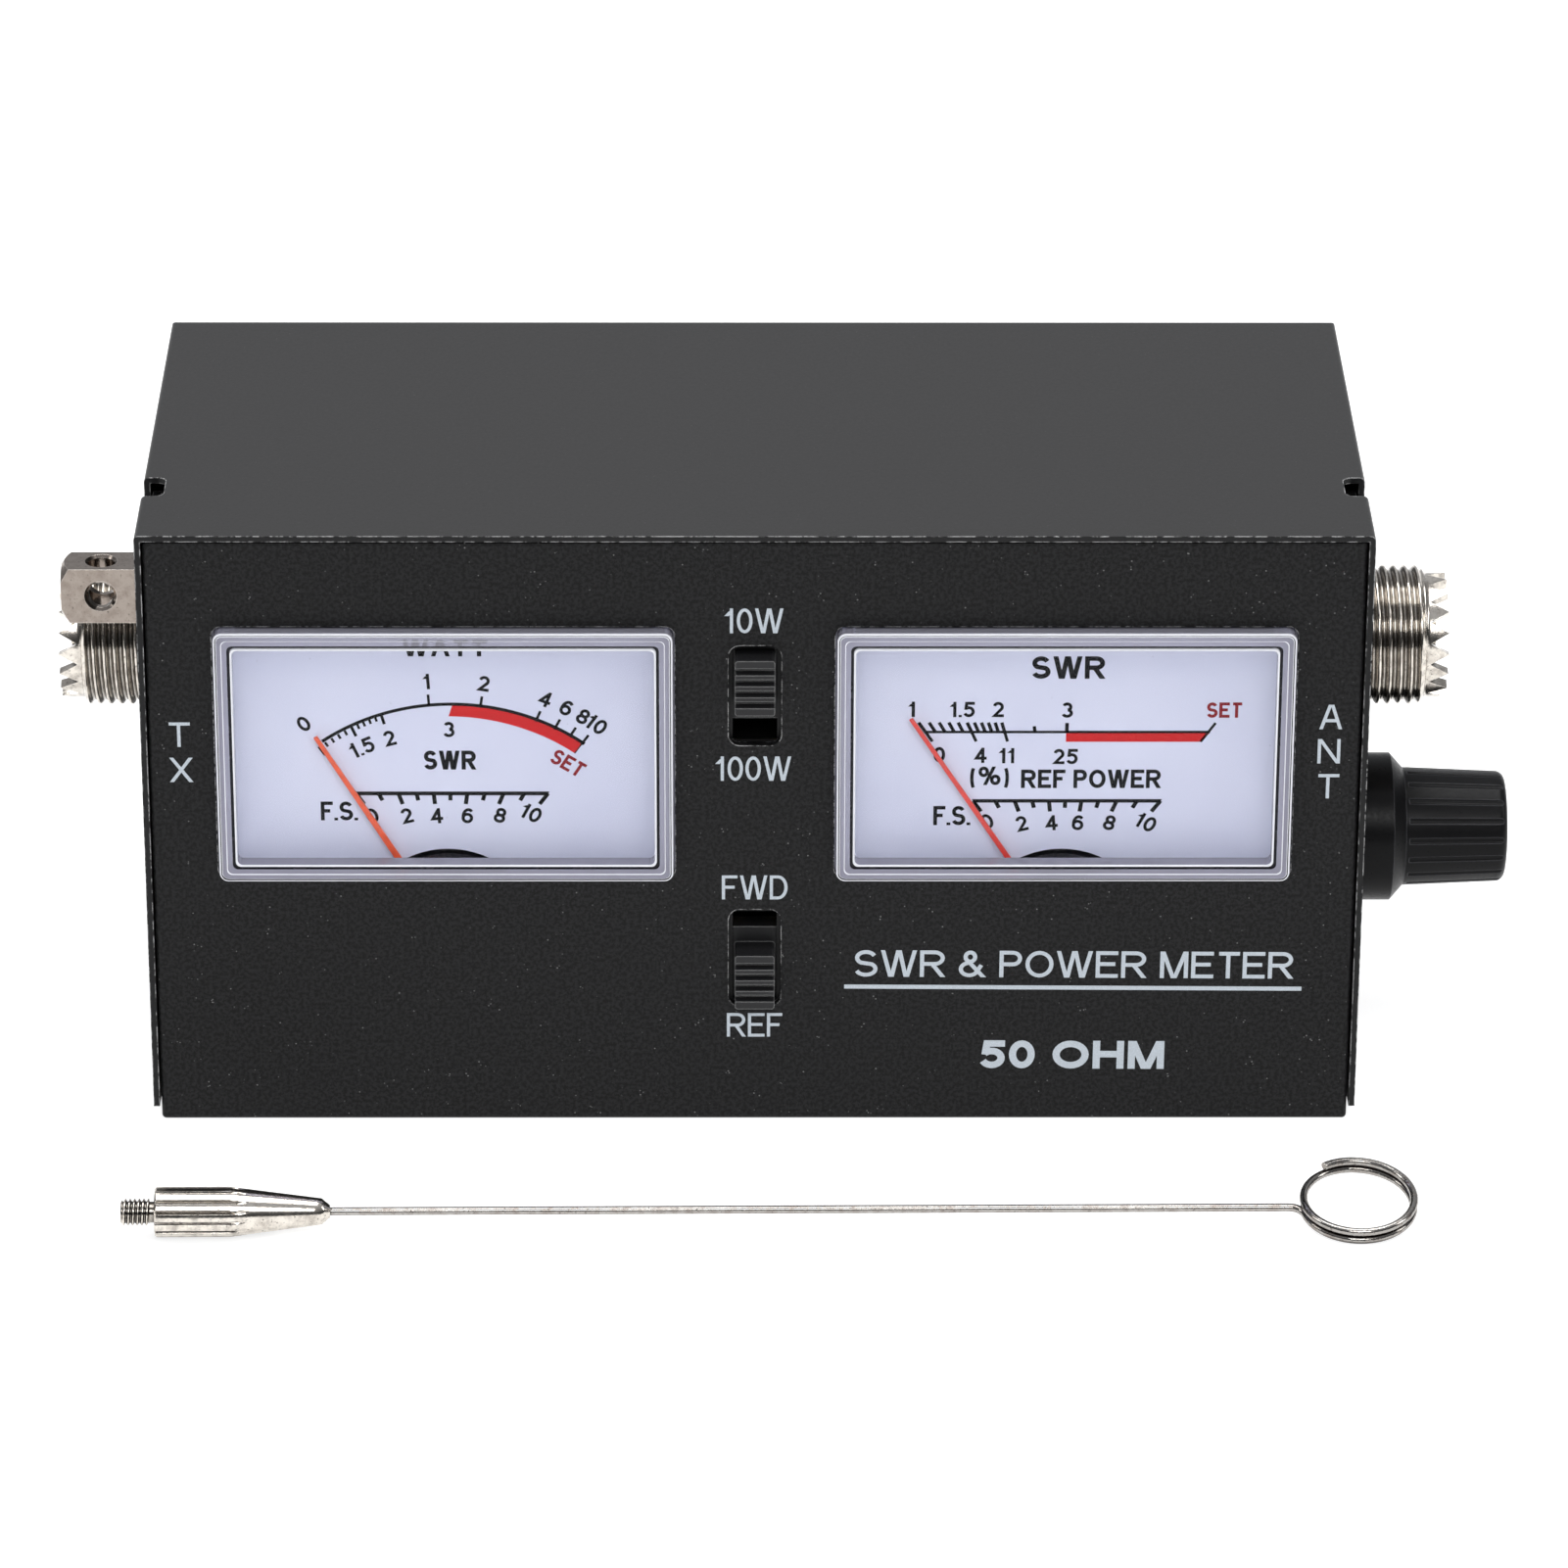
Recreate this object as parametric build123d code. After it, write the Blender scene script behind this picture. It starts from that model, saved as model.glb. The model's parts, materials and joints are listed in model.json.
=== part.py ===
from build123d import *
import math
import os

# A two-meter SWR and power meter with its screw-in whip antenna lying in front of it.
# Millimetres, +Z up. The front panel faces -Y. The origin is the centre of the case's
# footprint, on the surface it stands on.

# ---- case ------------------------------------------------------------------------
CASE_W = 135.0                      # across the outside of the cover
CASE_D = 63.0                       # front panel's face to the cover's back
CASE_H = 71.5
COVER_T = 0.7                       # cover sheet
CHASSIS_T = 1.0                     # chassis sheet
COVER_BEND_R = 0.6                  # outside radius of the cover's bends
CHASSIS_BEND_R = 0.5
FRONT_Y = -CASE_D / 2               # face of the front panel
BACK_Y = CASE_D / 2
COVER_IN_X = CASE_W / 2 - COVER_T   # inside of the cover's side walls
COVER_LIP = 0.3                     # how far the cover stands in front of the panel
COVER_FOOT = 1.8                    # lower edge of the side walls above the floor
COVER_BACK_LIP = 8.0                # height of the lip bent down over the back
CHASSIS_X = COVER_IN_X - 0.15       # outside of the chassis flanges
CHASSIS_BACK = BACK_Y - COVER_T - 0.05
CHASSIS_TOP = CASE_H - COVER_T - 0.1
FLANGE_Y = FRONT_Y + 18.0           # rear edge of the front panel's side flanges
NOTCH_Y = (-20.6, -15.4)            # notch in both top side edges
NOTCH_DEPTH = 2.5
NOTCH_SIDE = 3.0
NOTCH_R = 1.0
TOP_FLANGE = 9.5                    # depth of the flanges turned in under the cover
BACK_FLANGE = 5.0                   # depth of the back's side flanges
SIDE_FLANGE_Z = 11.0                # top of the low side flanges
RELIEF = 1.0                        # cuts beside the bends
BACK_RELIEF = 1.2
SIDE_SCREW_Y = (-8.0, 20.0)
SIDE_SCREW_Z = 6.0
BACK_SCREW_X = 40.0
BACK_SCREW_Z = 31.0
M3_R = 1.5
M3_FREE_R = 1.6                     # clearance hole
M3_TIGHT_R = 1.52                   # hole that a thread cuts into
M2_R = 1.0
M3_HEAD_R = 2.6
M3_HEAD_H = 1.3
M2_HEAD_R = 1.9
M2_HEAD_H = 1.1

# ---- meters ----------------------------------------------------------------------
METER_X = 34.1                      # each pivot, left and right of the centre
PIVOT_Z = 22.2
LENS_W = 50.2
LENS_H = 30.0
LENS_Z = 45.4                       # centre of the clear front
LENS_PROUD = 1.5                    # how far the rim stands in front of the panel
LENS_RIM = 2.05
LENS_RECESS = 1.9                   # window face behind the rim's face
LENS_PANE = 1.2
LENS_BACK_Y = FRONT_Y + 2.3
LENS_R = 1.0                        # outer corners of the rim
LENS_WINDOW_R = 0.5
LENS_GAP = 0.2                      # between the rim and the panel
LENS_HOLLOW_X = 24.5                # half width of the hollow behind the pane
LENS_HOLLOW_Z = (28.0, 59.2)
METER_W = 54.0                      # housing behind the panel
METER_Z = (12.4, 62.4)
METER_R = 1.5
METER_BACK_Y = FRONT_Y + 17.1
METER_WALL = 1.4
DIAL_Y = FRONT_Y + 4.0
DIAL_T = 0.5
DIAL_HALF = 25.0
DIAL_Z = (18.5, 60.6)
DIAL_CUT_R = 9.85
DIAL_SCREW = (21.0, 26.5)           # from the meter's middle, and height
DIAL_POST_R = 2.2
CORE_R = 4.4
COIL_R = (4.75, 5.45)
YOKE_R = (5.8, 8.0)
YOKE_Y = (FRONT_Y + 6.7, FRONT_Y + 12.7)
CORE_Y = (FRONT_Y + 7.3, FRONT_Y + 12.1)
EAR_Y = (FRONT_Y + 10.9, FRONT_Y + 11.7)    # mounting ears of the yoke
BRIDGE_T = 0.8
BRIDGE_Y = (FRONT_Y + 3.5, FRONT_Y + 14.1)  # front face of each pivot bar
WEB_Y = (FRONT_Y + 8.6, FRONT_Y + 11.0)     # webs that hold the core in the yoke
WEB_HALF = 1.5
BRIDGE_HALF = 1.2                   # half width of the bars that carry the pivots
PIVOT_R = 0.3
POINTER_Y = FRONT_Y + 3.0
POINTER_T = 0.3
POINTER_REST = {"left": 31.0, "right": 32.9}    # degrees left of upright
POINTER_LENGTH = {"left": 27.9, "right": 31.1}
POINTER_ROOT_HALF = {"left": 0.4, "right": 0.31}
POINTER_TIP_HALF = 0.22
POINTER_STEP = (2.1, 2.5)           # where the arm steps back to the balance cross
CROSS_Y = (FRONT_Y + 4.6, FRONT_Y + 4.9)
CROSS_DOWN = 4.6                    # reach of the cross below the pivot
CROSS_SIDE = 3.4
CROSS_HALF = 0.35
CROSS_HUB_R = 1.0
WEIGHT_R = (0.9, 0.6)               # balance weights, below and at the sides
WEIGHT_PROUD = 0.2
COIL_Y = (FRONT_Y + 5.9, FRONT_Y + 13.5)
COIL_T = 0.7
COIL_HALF = 1.6
PIVOT_Y = (FRONT_Y + 3.9, FRONT_Y + 14.6)       # ends of the front and rear pivots
SPRING_Y = (FRONT_Y + 5.2, FRONT_Y + 5.6)
SPRING_STRIP = 0.12
SPRING_START_R = 0.6
MOVEMENT_SCREW_X = 11.6
EAR_HALF = 2.4                      # half height of the yoke's ears
EAR_SCREW = 3.9                     # reach of the screws in the ears
DIAL_SCREW_REACH = 4.5
TERMINAL = (12.0, 32.0)             # from the meter's middle, and height
TERMINAL_HEAD_T = 1.0
TERMINAL_NUT_T = 2.2
M3_NUT_AF = 5.5
SPRING_STEP = 0.2                   # growth of the hairspring each half turn
SPRING_HALVES = 12

# ---- board behind the meters -----------------------------------------------------
BOARD_T = 1.6
BOARD_X = 62.0
BOARD_Z = (5.0, 69.0)
BOARD_BACK_Y = METER_BACK_Y + BOARD_T
SPACER_AF = 5.0                     # across the flats
SPACER_Z = (8.2, 66.0)
STUD_LENGTH = 5.0
BOARD_SCREW = 6.0

# ---- slide switches --------------------------------------------------------------
SWITCH_TRAVEL = 4.0
SWITCH_Z = {"power": 52.0, "direction": 20.05}
SLOT_Z = {"power": 52.33, "direction": 20.24}
REST_SIGN = {"power": 1, "direction": -1}   # which end of the travel each rests at
SLOT_W = 5.8
SLOT_H = 12.0
SLOT_R = 1.3
SWITCH_CAP = (4.4, 6.6)
SWITCH_PROUD = 1.8
SWITCH_RIDGES = 5
SWITCH_CARRIAGE = (8.0, 10.4)       # width and height behind the panel
SWITCH_CARRIAGE_Y = (FRONT_Y + 1.9, FRONT_Y + 4.4)
SWITCH_FRAME_HALF = (4.8, 8.4)
SWITCH_FRAME_T = 0.5
SWITCH_FRAME_Y = (FRONT_Y + CHASSIS_T + 0.1, FRONT_Y + CHASSIS_T + 7.0)
SWITCH_WINDOW_HALF = (2.45, 5.5)
SWITCH_BASE_HALF = (4.3, 7.8)
SWITCH_BASE_Y = (FRONT_Y + 6.7, FRONT_Y + 8.3)
SWITCH_PIN_X = 2.1
SWITCH_PIN_STEP = 4.0
SWITCH_PIN_R = 0.4
SWITCH_PIN_HEAD_R = 0.9
SWITCH_PIN_FRONT = FRONT_Y + 6.2
BRIDGE_CONTACT_X = (1.3, 2.9)
BRIDGE_CONTACT_HALF = 3.0
BRIDGE_CONTACT_T = 0.4
BRIDGE_FOOT = 0.8
BRIDGE_FOOT_END = FRONT_Y + 6.1

# ---- coaxial sockets and the coupler between them --------------------------------
SOCKET_Z = 45.7
THREAD_R = 15.875 / 2
SOCKET_FLANGE = 25.4
SOCKET_END = 75.95                  # where the thread stops
CROWN_R = 7.1
CROWN_BASE = 76.45
SOCKET_TIP = 78.6
SOCKET_BORE_R = 6.0
CROWN_TEETH = 18
CROWN_TURN = 5.0                    # degrees from the top to the first tooth, towards the front
CONTACT_BORE_R = 2.0
CONTACT_TIP = 77.4
FLANGE_X = (COVER_IN_X - 1.6, COVER_IN_X)
BOSS_R = 6.5
RIVET_AT = 9.15
INSULATOR_R = 4.98
INSULATOR_X = (60.5, 69.0, 70.2)    # inner end, bore's floor and outer end
CONTACT_R = 1.55
CONTACT_ENDS_R = (2.3, 2.9)         # solder cup and socket
CONTACT_CUP_X = 56.5
CONTACT_SLOT_X = 73.0
CONTACT_SLOT_HALF = 0.2
TOOTH_ROOT_HALF = 0.35
TOOTH_TIP_HALF = 0.05
TROUGH_T = 1.0
TROUGH_Y = 6.4
TROUGH_WALL_X = 61.5
TROUGH_Z = (36.0, 56.0)
TROUGH_TAB_HALF = 7.0
TROUGH_TAB_Z = 26.0
LINE_R = 1.5
LINE_HALF = 60.0
COUPLER_BOARD = (55.0, 5.2)         # half length and half width
COUPLER_BOARD_Z = (39.2, 40.8)
COUPLER_POST_X = 50.0
COUPLER_POST_R = 2.5
PART_HEIGHT = 42.4                  # axis of the resistors and diodes
LEAD_R = 0.3
LEAD_REACH = 1.6
LEAD_END_Z = 38.6

# ---- set control -----------------------------------------------------------------
POT_Z = 21.55
POT_R = 8.2
POT_WALL = 0.6
POT_FRONT_T = 1.4
POT_BACK_X = 58.2
BUSHING_R = 3.45
BUSHING_END = 72.0
POT_NUT_AF = 10.0
POT_NUT_X = (CASE_W / 2 + 0.5, CASE_W / 2 + 2.4)
POT_WASHER_R = 5.6
SHAFT_R = 3.0
SHAFT_X = (60.4, 82.0)
WIPER_R = 6.8
WIPER_X = (60.3, 61.4, 62.8)        # brush, and both faces of the disc
WIPER_BRUSH = (4.2, 6.0)            # distance from the shaft
TRACK_R = 7.4
TRACK_X = (59.0, 60.0)
TRACK_TAB = (5.8, 10.8)             # half width, and height of its lower edge
LUG_Y = (-4.2, 0.0, 4.2)
LUG_HALF = 1.0
LUG_T = 0.4
LUG_Z = (5.6, 12.4)
LUG_HOLE = (0.6, 7.2)               # radius and height
RUNNING_GAP = 0.05
KNOB_BASE = 68.3
KNOB_SKIRT_R = 8.5
KNOB_SKIRT_END = 73.1
KNOB_GRIP_START = 74.6
KNOB_END = 86.3
KNOB_GRIP_R = (6.8, 6.3)
KNOB_TIP_ROUND = 1.0
KNOB_FLUTES = 18
KNOB_FLUTE_R = 0.5
KNOB_FLUTE_OUT = 0.32               # flute's centre outside the grip
KNOB_HOLLOW = (6.3, 72.3)           # radius, and where the hollow under the skirt ends

# ---- antenna block and whip ------------------------------------------------------
BLOCK_Y = (-19.5, -14.6)
BLOCK_Z = (55.75, 62.2)
BLOCK_END = -76.8
BLOCK_HOLE_X = -72.4
BLOCK_HOLE_Z = 59.0
BLOCK_NOSE_R = (2.85, 4.1)
BLOCK_NOSE = 0.95
BLOCK_SINK = 0.3                    # countersink of its holes
BLOCK_SCREW = (3.1, 4.8)            # depth of its hole, and length of its screw
WHIP_START = (-69.2, -58.91)        # tip of the stud, seen from above
WHIP_TURN = 1.775                   # degrees that the whip lies off the X axis
WHIP_DIP = 0.717                    # degrees that it slopes down to its ring
STUD_END = 3.7                      # lengths from the tip of the stud
GRIP_END = 11.9
CONE_END = 22.8
GRIP_R = 2.75
CONE_TIP_R = 1.1
WIRE_R = 0.45
WIRE_SOCKET = 3.0                   # how far the wire goes into the handle
GRIP_GROOVES = 14
GRIP_GROOVE_R = 0.3
GRIP_GROOVE_OUT = 0.12
RING_R = 6.05
RING_AT = 135.5                     # ring's centre along the whip
RING_OFFSET = -0.08                 # and beside it
RING_PITCH = 1.04
RING_TURNS = 1.81
RING_TILT = 9.2                     # degrees that its far side is raised
BEND_RADIUS = 1.8


# ---- shape helpers ---------------------------------------------------------------
def block(x, y, z):
    """A box from three (low, high) pairs."""
    size = [high - low for low, high in (x, y, z)]
    middle = [(low + high) / 2 for low, high in (x, y, z)]
    return Pos(*middle) * Box(*size)


def rod(axis, radius, span, at=(0.0, 0.0)):
    """A cylinder along X, Y or Z over span, at the other two coordinates in order."""
    low, high = span
    middle = (low + high) / 2
    places = {"X": (middle, at[0], at[1]), "Y": (at[0], middle, at[1]), "Z": (at[0], at[1], middle)}
    turns = {"X": (0, 90, 0), "Y": (90, 0, 0), "Z": (0, 0, 0)}
    return Pos(*places[axis]) * Rot(*turns[axis]) * Cylinder(radius, high - low)


def front_prism(sketch, y):
    """A sketch drawn in X and Z, as seen from the front, filled between two depths."""
    plane = Plane(origin=(0, y[1], 0), x_dir=(1, 0, 0), z_dir=(0, -1, 0))
    return extrude(plane * sketch, amount=y[1] - y[0])


def side_prism(sketch, x):
    """A sketch drawn in Y and Z, filled between two places along X."""
    plane = Plane(origin=(x[0], 0, 0), x_dir=(0, 1, 0), z_dir=(1, 0, 0))
    return extrude(plane * sketch, amount=x[1] - x[0])


def lathe(profile):
    """A solid of revolution about X from (x, radius) points."""
    points = [(profile[0][0], 0.0)] + list(profile) + [(profile[-1][0], 0.0)]
    return revolve(Plane.XY * Polygon(*points, align=None), axis=Axis.X)


def for_side(shape, side):
    """A shape made on the right, mirrored when it belongs on the left."""
    return mirror(shape, about=Plane.YZ) if side == "left" else shape


def around(span, inset):
    """A (low, high) pair drawn in by inset at both ends."""
    return (span[0] + inset, span[1] - inset)


# ---- case ------------------------------------------------------------------------
def make_cover():
    half = CASE_W / 2
    inner_top = CASE_H - COVER_T
    front = FRONT_Y - COVER_LIP
    outer = block((-half, half), (front, BACK_Y), (COVER_FOOT, CASE_H))
    bends = outer.edges().filter_by(Axis.Y).group_by(Axis.Z)[-1]
    bends += outer.edges().filter_by(Axis.X).group_by(Axis.Z)[-1].sort_by(Axis.Y)[-1:]
    outer = fillet(bends, COVER_BEND_R)
    cover = outer - block((-COVER_IN_X, COVER_IN_X), (front - 1, BACK_Y - COVER_T), (0, inner_top))
    lip_z = CASE_H - COVER_BACK_LIP
    cover -= block((-COVER_IN_X, COVER_IN_X), (BACK_Y - 1, BACK_Y + 1), (0, lip_z))
    for sign in (-1, 1):
        relief = sorted((sign * COVER_IN_X, sign * (COVER_IN_X - BACK_RELIEF)))
        cover -= block(relief, (BACK_Y - COVER_T, BACK_Y + 1), (0, inner_top - RELIEF))
        notch_x = sorted((sign * (half - NOTCH_DEPTH), sign * (half + 1)))
        notch = block(notch_x, NOTCH_Y, (CASE_H - NOTCH_SIDE, CASE_H + 1))
        inner_edges = notch.edges().filter_by(Axis.Z).sort_by(lambda e: abs(e.center().X))[:2]
        cover -= fillet(inner_edges, NOTCH_R)
    cover -= rod("X", THREAD_R + 0.4, (-half - 1, half + 1), (0, SOCKET_Z))
    cover -= rod("X", BUSHING_R + 0.15, (half - 5, half + 1), (0, POT_Z))
    for y in SIDE_SCREW_Y:
        cover -= rod("X", M3_FREE_R, (-half - 1, half + 1), (y, SIDE_SCREW_Z))
    block_y = sum(BLOCK_Y) / 2
    cover -= rod("X", M3_FREE_R, (-half - 1, -half + 5), (block_y, BLOCK_HOLE_Z))
    return cover


def make_chassis():
    inner_x = CHASSIS_X - CHASSIS_T
    outer = block((-CHASSIS_X, CHASSIS_X), (FRONT_Y, CHASSIS_BACK), (0, CHASSIS_TOP))
    chassis = fillet(outer.edges(), CHASSIS_BEND_R)
    chassis -= block(
        (-inner_x, inner_x),
        (FRONT_Y + CHASSIS_T, CHASSIS_BACK - CHASSIS_T),
        (CHASSIS_T, CHASSIS_TOP - CHASSIS_T),
    )
    wide = CHASSIS_X + 1
    back_flange_y = CHASSIS_BACK - BACK_FLANGE
    open_top = (FRONT_Y + TOP_FLANGE, CHASSIS_BACK - TOP_FLANGE)
    chassis -= block((-wide, wide), open_top, (CHASSIS_TOP - 1.5, CASE_H))
    for sign in (-1, 1):
        side = sorted((sign * inner_x, sign * wide))
        chassis -= block(side, (FLANGE_Y, back_flange_y), (SIDE_FLANGE_Z, CASE_H))
        chassis -= block(side, (FLANGE_Y, FLANGE_Y + RELIEF), (CHASSIS_T, CASE_H))
        chassis -= block(side, (back_flange_y - RELIEF, back_flange_y), (CHASSIS_T, CASE_H))
        corner = sorted((sign * (inner_x - 0.6), sign * wide))
        chassis -= block(corner, (FRONT_Y + CHASSIS_T + 0.4, CHASSIS_BACK - CHASSIS_T - 0.4),
                         (CHASSIS_TOP - 1.6, CASE_H))
        lens_size = (LENS_W + 2 * LENS_GAP, LENS_H + 2 * LENS_GAP)
        lens_cut = Pos(sign * METER_X, LENS_Z) * RectangleRounded(*lens_size, LENS_R + 0.1)
        chassis -= front_prism(lens_cut, (FRONT_Y - 1, FRONT_Y + 2))
        chassis -= rod("Y", M3_FREE_R, (20, BACK_Y), (sign * BACK_SCREW_X, BACK_SCREW_Z))
    for slot_z in SLOT_Z.values():
        slot = Pos(0, slot_z) * RectangleRounded(SLOT_W, SLOT_H, SLOT_R)
        chassis -= front_prism(slot, (FRONT_Y - 1, FRONT_Y + 2))
    for y in SIDE_SCREW_Y:
        chassis -= rod("X", M3_TIGHT_R, (-wide, wide), (y, SIDE_SCREW_Z))
    chassis -= rod("X", M3_FREE_R, (-wide, -inner_x + 1), (sum(BLOCK_Y) / 2, BLOCK_HOLE_Z))
    for x in (-METER_X, METER_X):
        for z in SPACER_Z:
            stud_y = (FRONT_Y + CHASSIS_T / 2, FRONT_Y + CHASSIS_T + STUD_LENGTH)
            chassis += rod("Y", M3_R, stud_y, (x, z))
    return chassis


def pan_screw(axis, face, reach, at, radius=M3_R, head_r=M3_HEAD_R, head_h=M3_HEAD_H):
    """A pan-head screw. Its head sits on face, and the shank runs reach mm from there."""
    away = -1 if reach > 0 else 1
    shank = rod(axis, radius, sorted((face, face + reach)), at)
    head = rod(axis, head_r, sorted((face, face + away * head_h)), at)
    rim = head.faces().sort_by(Axis.X if axis == "X" else Axis.Y)[-1 if away > 0 else 0]
    head = fillet(rim.edges(), head_h * 0.45)
    slot_w = head_r * 0.3
    depth = sorted((face + away * head_h * 0.5, face + away * (head_h + 1)))
    for turned in (0, 1):
        long_span = (-head_r * 0.62, head_r * 0.62)
        thin_span = (-slot_w / 2, slot_w / 2)
        first, second = (long_span, thin_span) if turned else (thin_span, long_span)
        first = (at[0] + first[0], at[0] + first[1])
        second = (at[1] + second[0], at[1] + second[1])
        head -= block(depth, first, second) if axis == "X" else block(first, depth, second)
    return head + shank


def make_case_screws():
    screws = []
    for y in SIDE_SCREW_Y:
        for sign in (-1, 1):
            screws.append(pan_screw("X", sign * CASE_W / 2, -sign * 5.0, (y, SIDE_SCREW_Z)))
    for x in (-BACK_SCREW_X, BACK_SCREW_X):
        screws.append(pan_screw("Y", CHASSIS_BACK, -5.0, (x, BACK_SCREW_Z), head_h=1.6))
    return Compound(children=screws)


# ---- meters ----------------------------------------------------------------------
def make_lens(x):
    rim = Pos(x, LENS_Z) * RectangleRounded(LENS_W, LENS_H, LENS_R)
    lens = front_prism(rim, (FRONT_Y - LENS_PROUD, LENS_BACK_Y))
    foot = Pos(x, sum(METER_Z) / 2) * RectangleRounded(METER_W, METER_Z[1] - METER_Z[0], METER_R)
    lens += front_prism(foot, (FRONT_Y + CHASSIS_T + 0.1, LENS_BACK_Y))
    window_size = (LENS_W - 2 * LENS_RIM, LENS_H - 2 * LENS_RIM)
    window = Pos(x, LENS_Z) * RectangleRounded(*window_size, LENS_WINDOW_R)
    pane_y = FRONT_Y - LENS_PROUD + LENS_RECESS
    lens -= front_prism(window, (FRONT_Y - LENS_PROUD - 1, pane_y))
    hollow_x = (x - LENS_HOLLOW_X, x + LENS_HOLLOW_X)
    lens -= block(hollow_x, (pane_y + LENS_PANE, LENS_BACK_Y + 1), LENS_HOLLOW_Z)
    return lens


def make_meter_case(x):
    outer = (x - METER_W / 2, x + METER_W / 2)
    case = block(outer, (LENS_BACK_Y, METER_BACK_Y), METER_Z)
    case = fillet(case.edges().filter_by(Axis.Y), METER_R)
    floor_y = METER_BACK_Y - METER_WALL
    case -= block(around(outer, METER_WALL), (LENS_BACK_Y - 1, floor_y), around(METER_Z, METER_WALL))
    for sign in (-1, 1):
        dial = (x + sign * DIAL_SCREW[0], DIAL_SCREW[1])
        case += rod("Y", DIAL_POST_R, (DIAL_Y + DIAL_T, floor_y), dial)
        case -= rod("Y", M2_R, (DIAL_Y, DIAL_Y + DIAL_SCREW_REACH), dial)
        post = (x + sign * MOVEMENT_SCREW_X, PIVOT_Z)
        case += rod("Y", EAR_HALF, (EAR_Y[1], floor_y), post)
        case -= rod("Y", M2_R, (EAR_Y[0], EAR_Y[0] + EAR_SCREW), post)
        terminal = (x + sign * TERMINAL[0], TERMINAL[1])
        case -= rod("Y", M3_R, (floor_y - 1, METER_BACK_Y + 1), terminal)
    return case


def make_dial_plate(x):
    y = (DIAL_Y, DIAL_Y + DIAL_T)
    plate = block((x - DIAL_HALF, x + DIAL_HALF), y, DIAL_Z)
    plate -= rod("Y", DIAL_CUT_R, (y[0] - 1, y[1] + 1), (x, PIVOT_Z))
    plate -= block((x - DIAL_CUT_R, x + DIAL_CUT_R), (y[0] - 1, y[1] + 1), (0, PIVOT_Z))
    for sign in (-1, 1):
        hole = (x + sign * DIAL_SCREW[0], DIAL_SCREW[1])
        plate -= rod("Y", M2_R, (y[0] - 1, y[1] + 1), hole)
    return plate


def make_pivot_bridges(x):
    """The two bars that hold the pivots, and the webs that hold the core in the yoke."""
    reach = YOKE_R[1] - 0.2
    bar_z = (PIVOT_Z - BRIDGE_HALF, PIVOT_Z + BRIDGE_HALF)
    bridges = []
    front, back = [(y, y + BRIDGE_T) for y in BRIDGE_Y]
    for bar_y, leg_y in ((front, (front[0], YOKE_Y[0])), (back, (YOKE_Y[1], back[1]))):
        bridge = block((x - reach, x + reach), bar_y, bar_z)
        for sign in (-1, 1):
            leg = sorted((x + sign * (YOKE_R[0] + 0.2), x + sign * reach))
            bridge += block(leg, leg_y, bar_z)
        bridge -= rod("Y", PIVOT_R + RUNNING_GAP, (bar_y[0] - 1, bar_y[1] + 1), (x, PIVOT_Z))
        bridges.append(bridge)
    between = rod("Y", YOKE_R[0], WEB_Y, (x, PIVOT_Z))
    between -= rod("Y", CORE_R, (WEB_Y[0] - 1, WEB_Y[1] + 1), (x, PIVOT_Z))
    for web_z in ((PIVOT_Z, PIVOT_Z + YOKE_R[1]), (PIVOT_Z - YOKE_R[1], PIVOT_Z)):
        bridges.append(between & block((x - WEB_HALF, x + WEB_HALF), WEB_Y, web_z))
    return Compound(children=bridges)


def make_core_magnet(x):
    core = rod("Y", CORE_R, CORE_Y, (x, PIVOT_Z))
    return chamfer(core.edges().filter_by(GeomType.CIRCLE), 0.3)


def make_yoke_ring(x):
    reach = MOVEMENT_SCREW_X + EAR_HALF
    ears = block((x - reach, x + reach), EAR_Y, (PIVOT_Z - EAR_HALF, PIVOT_Z + EAR_HALF))
    yoke = rod("Y", YOKE_R[1], YOKE_Y, (x, PIVOT_Z)) + ears
    yoke -= rod("Y", YOKE_R[0], (YOKE_Y[0] - 1, YOKE_Y[1] + 1), (x, PIVOT_Z))
    for sign in (-1, 1):
        hole = (x + sign * MOVEMENT_SCREW_X, PIVOT_Z)
        yoke -= rod("Y", M2_R, (YOKE_Y[0], YOKE_Y[1]), hole)
    return yoke


def make_hairspring(x):
    """A flat spiral drawn as half rings about two centres."""
    centres = (0.0, SPRING_STEP)
    radius = SPRING_START_R
    spiral = None
    for half in range(SPRING_HALVES):
        lower = half % 2
        ring = Circle(radius + SPRING_STRIP / 2) - Circle(radius - SPRING_STRIP / 2)
        keep = Pos(0, -5 if lower else 5) * Rectangle(20, 10)
        piece = Pos(centres[lower], 0) * (ring & keep)
        spiral = piece if spiral is None else spiral + piece
        radius += SPRING_STEP
    last_radius = radius - SPRING_STEP
    end_x = SPRING_STEP + last_radius
    anchor_x = YOKE_R[0] + 0.2
    tail = Pos((end_x + anchor_x) / 2, -SPRING_STRIP / 2) * Rectangle(anchor_x - end_x, SPRING_STRIP)
    spiral += tail
    return front_prism(Pos(x, PIVOT_Z) * spiral, SPRING_Y)


def to_rest(shape, side, x):
    """Turns a movement part from upright to where it rests, left of upright."""
    return Pos(x, 0, PIVOT_Z) * Rot(0, -POINTER_REST[side], 0) * shape


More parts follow.
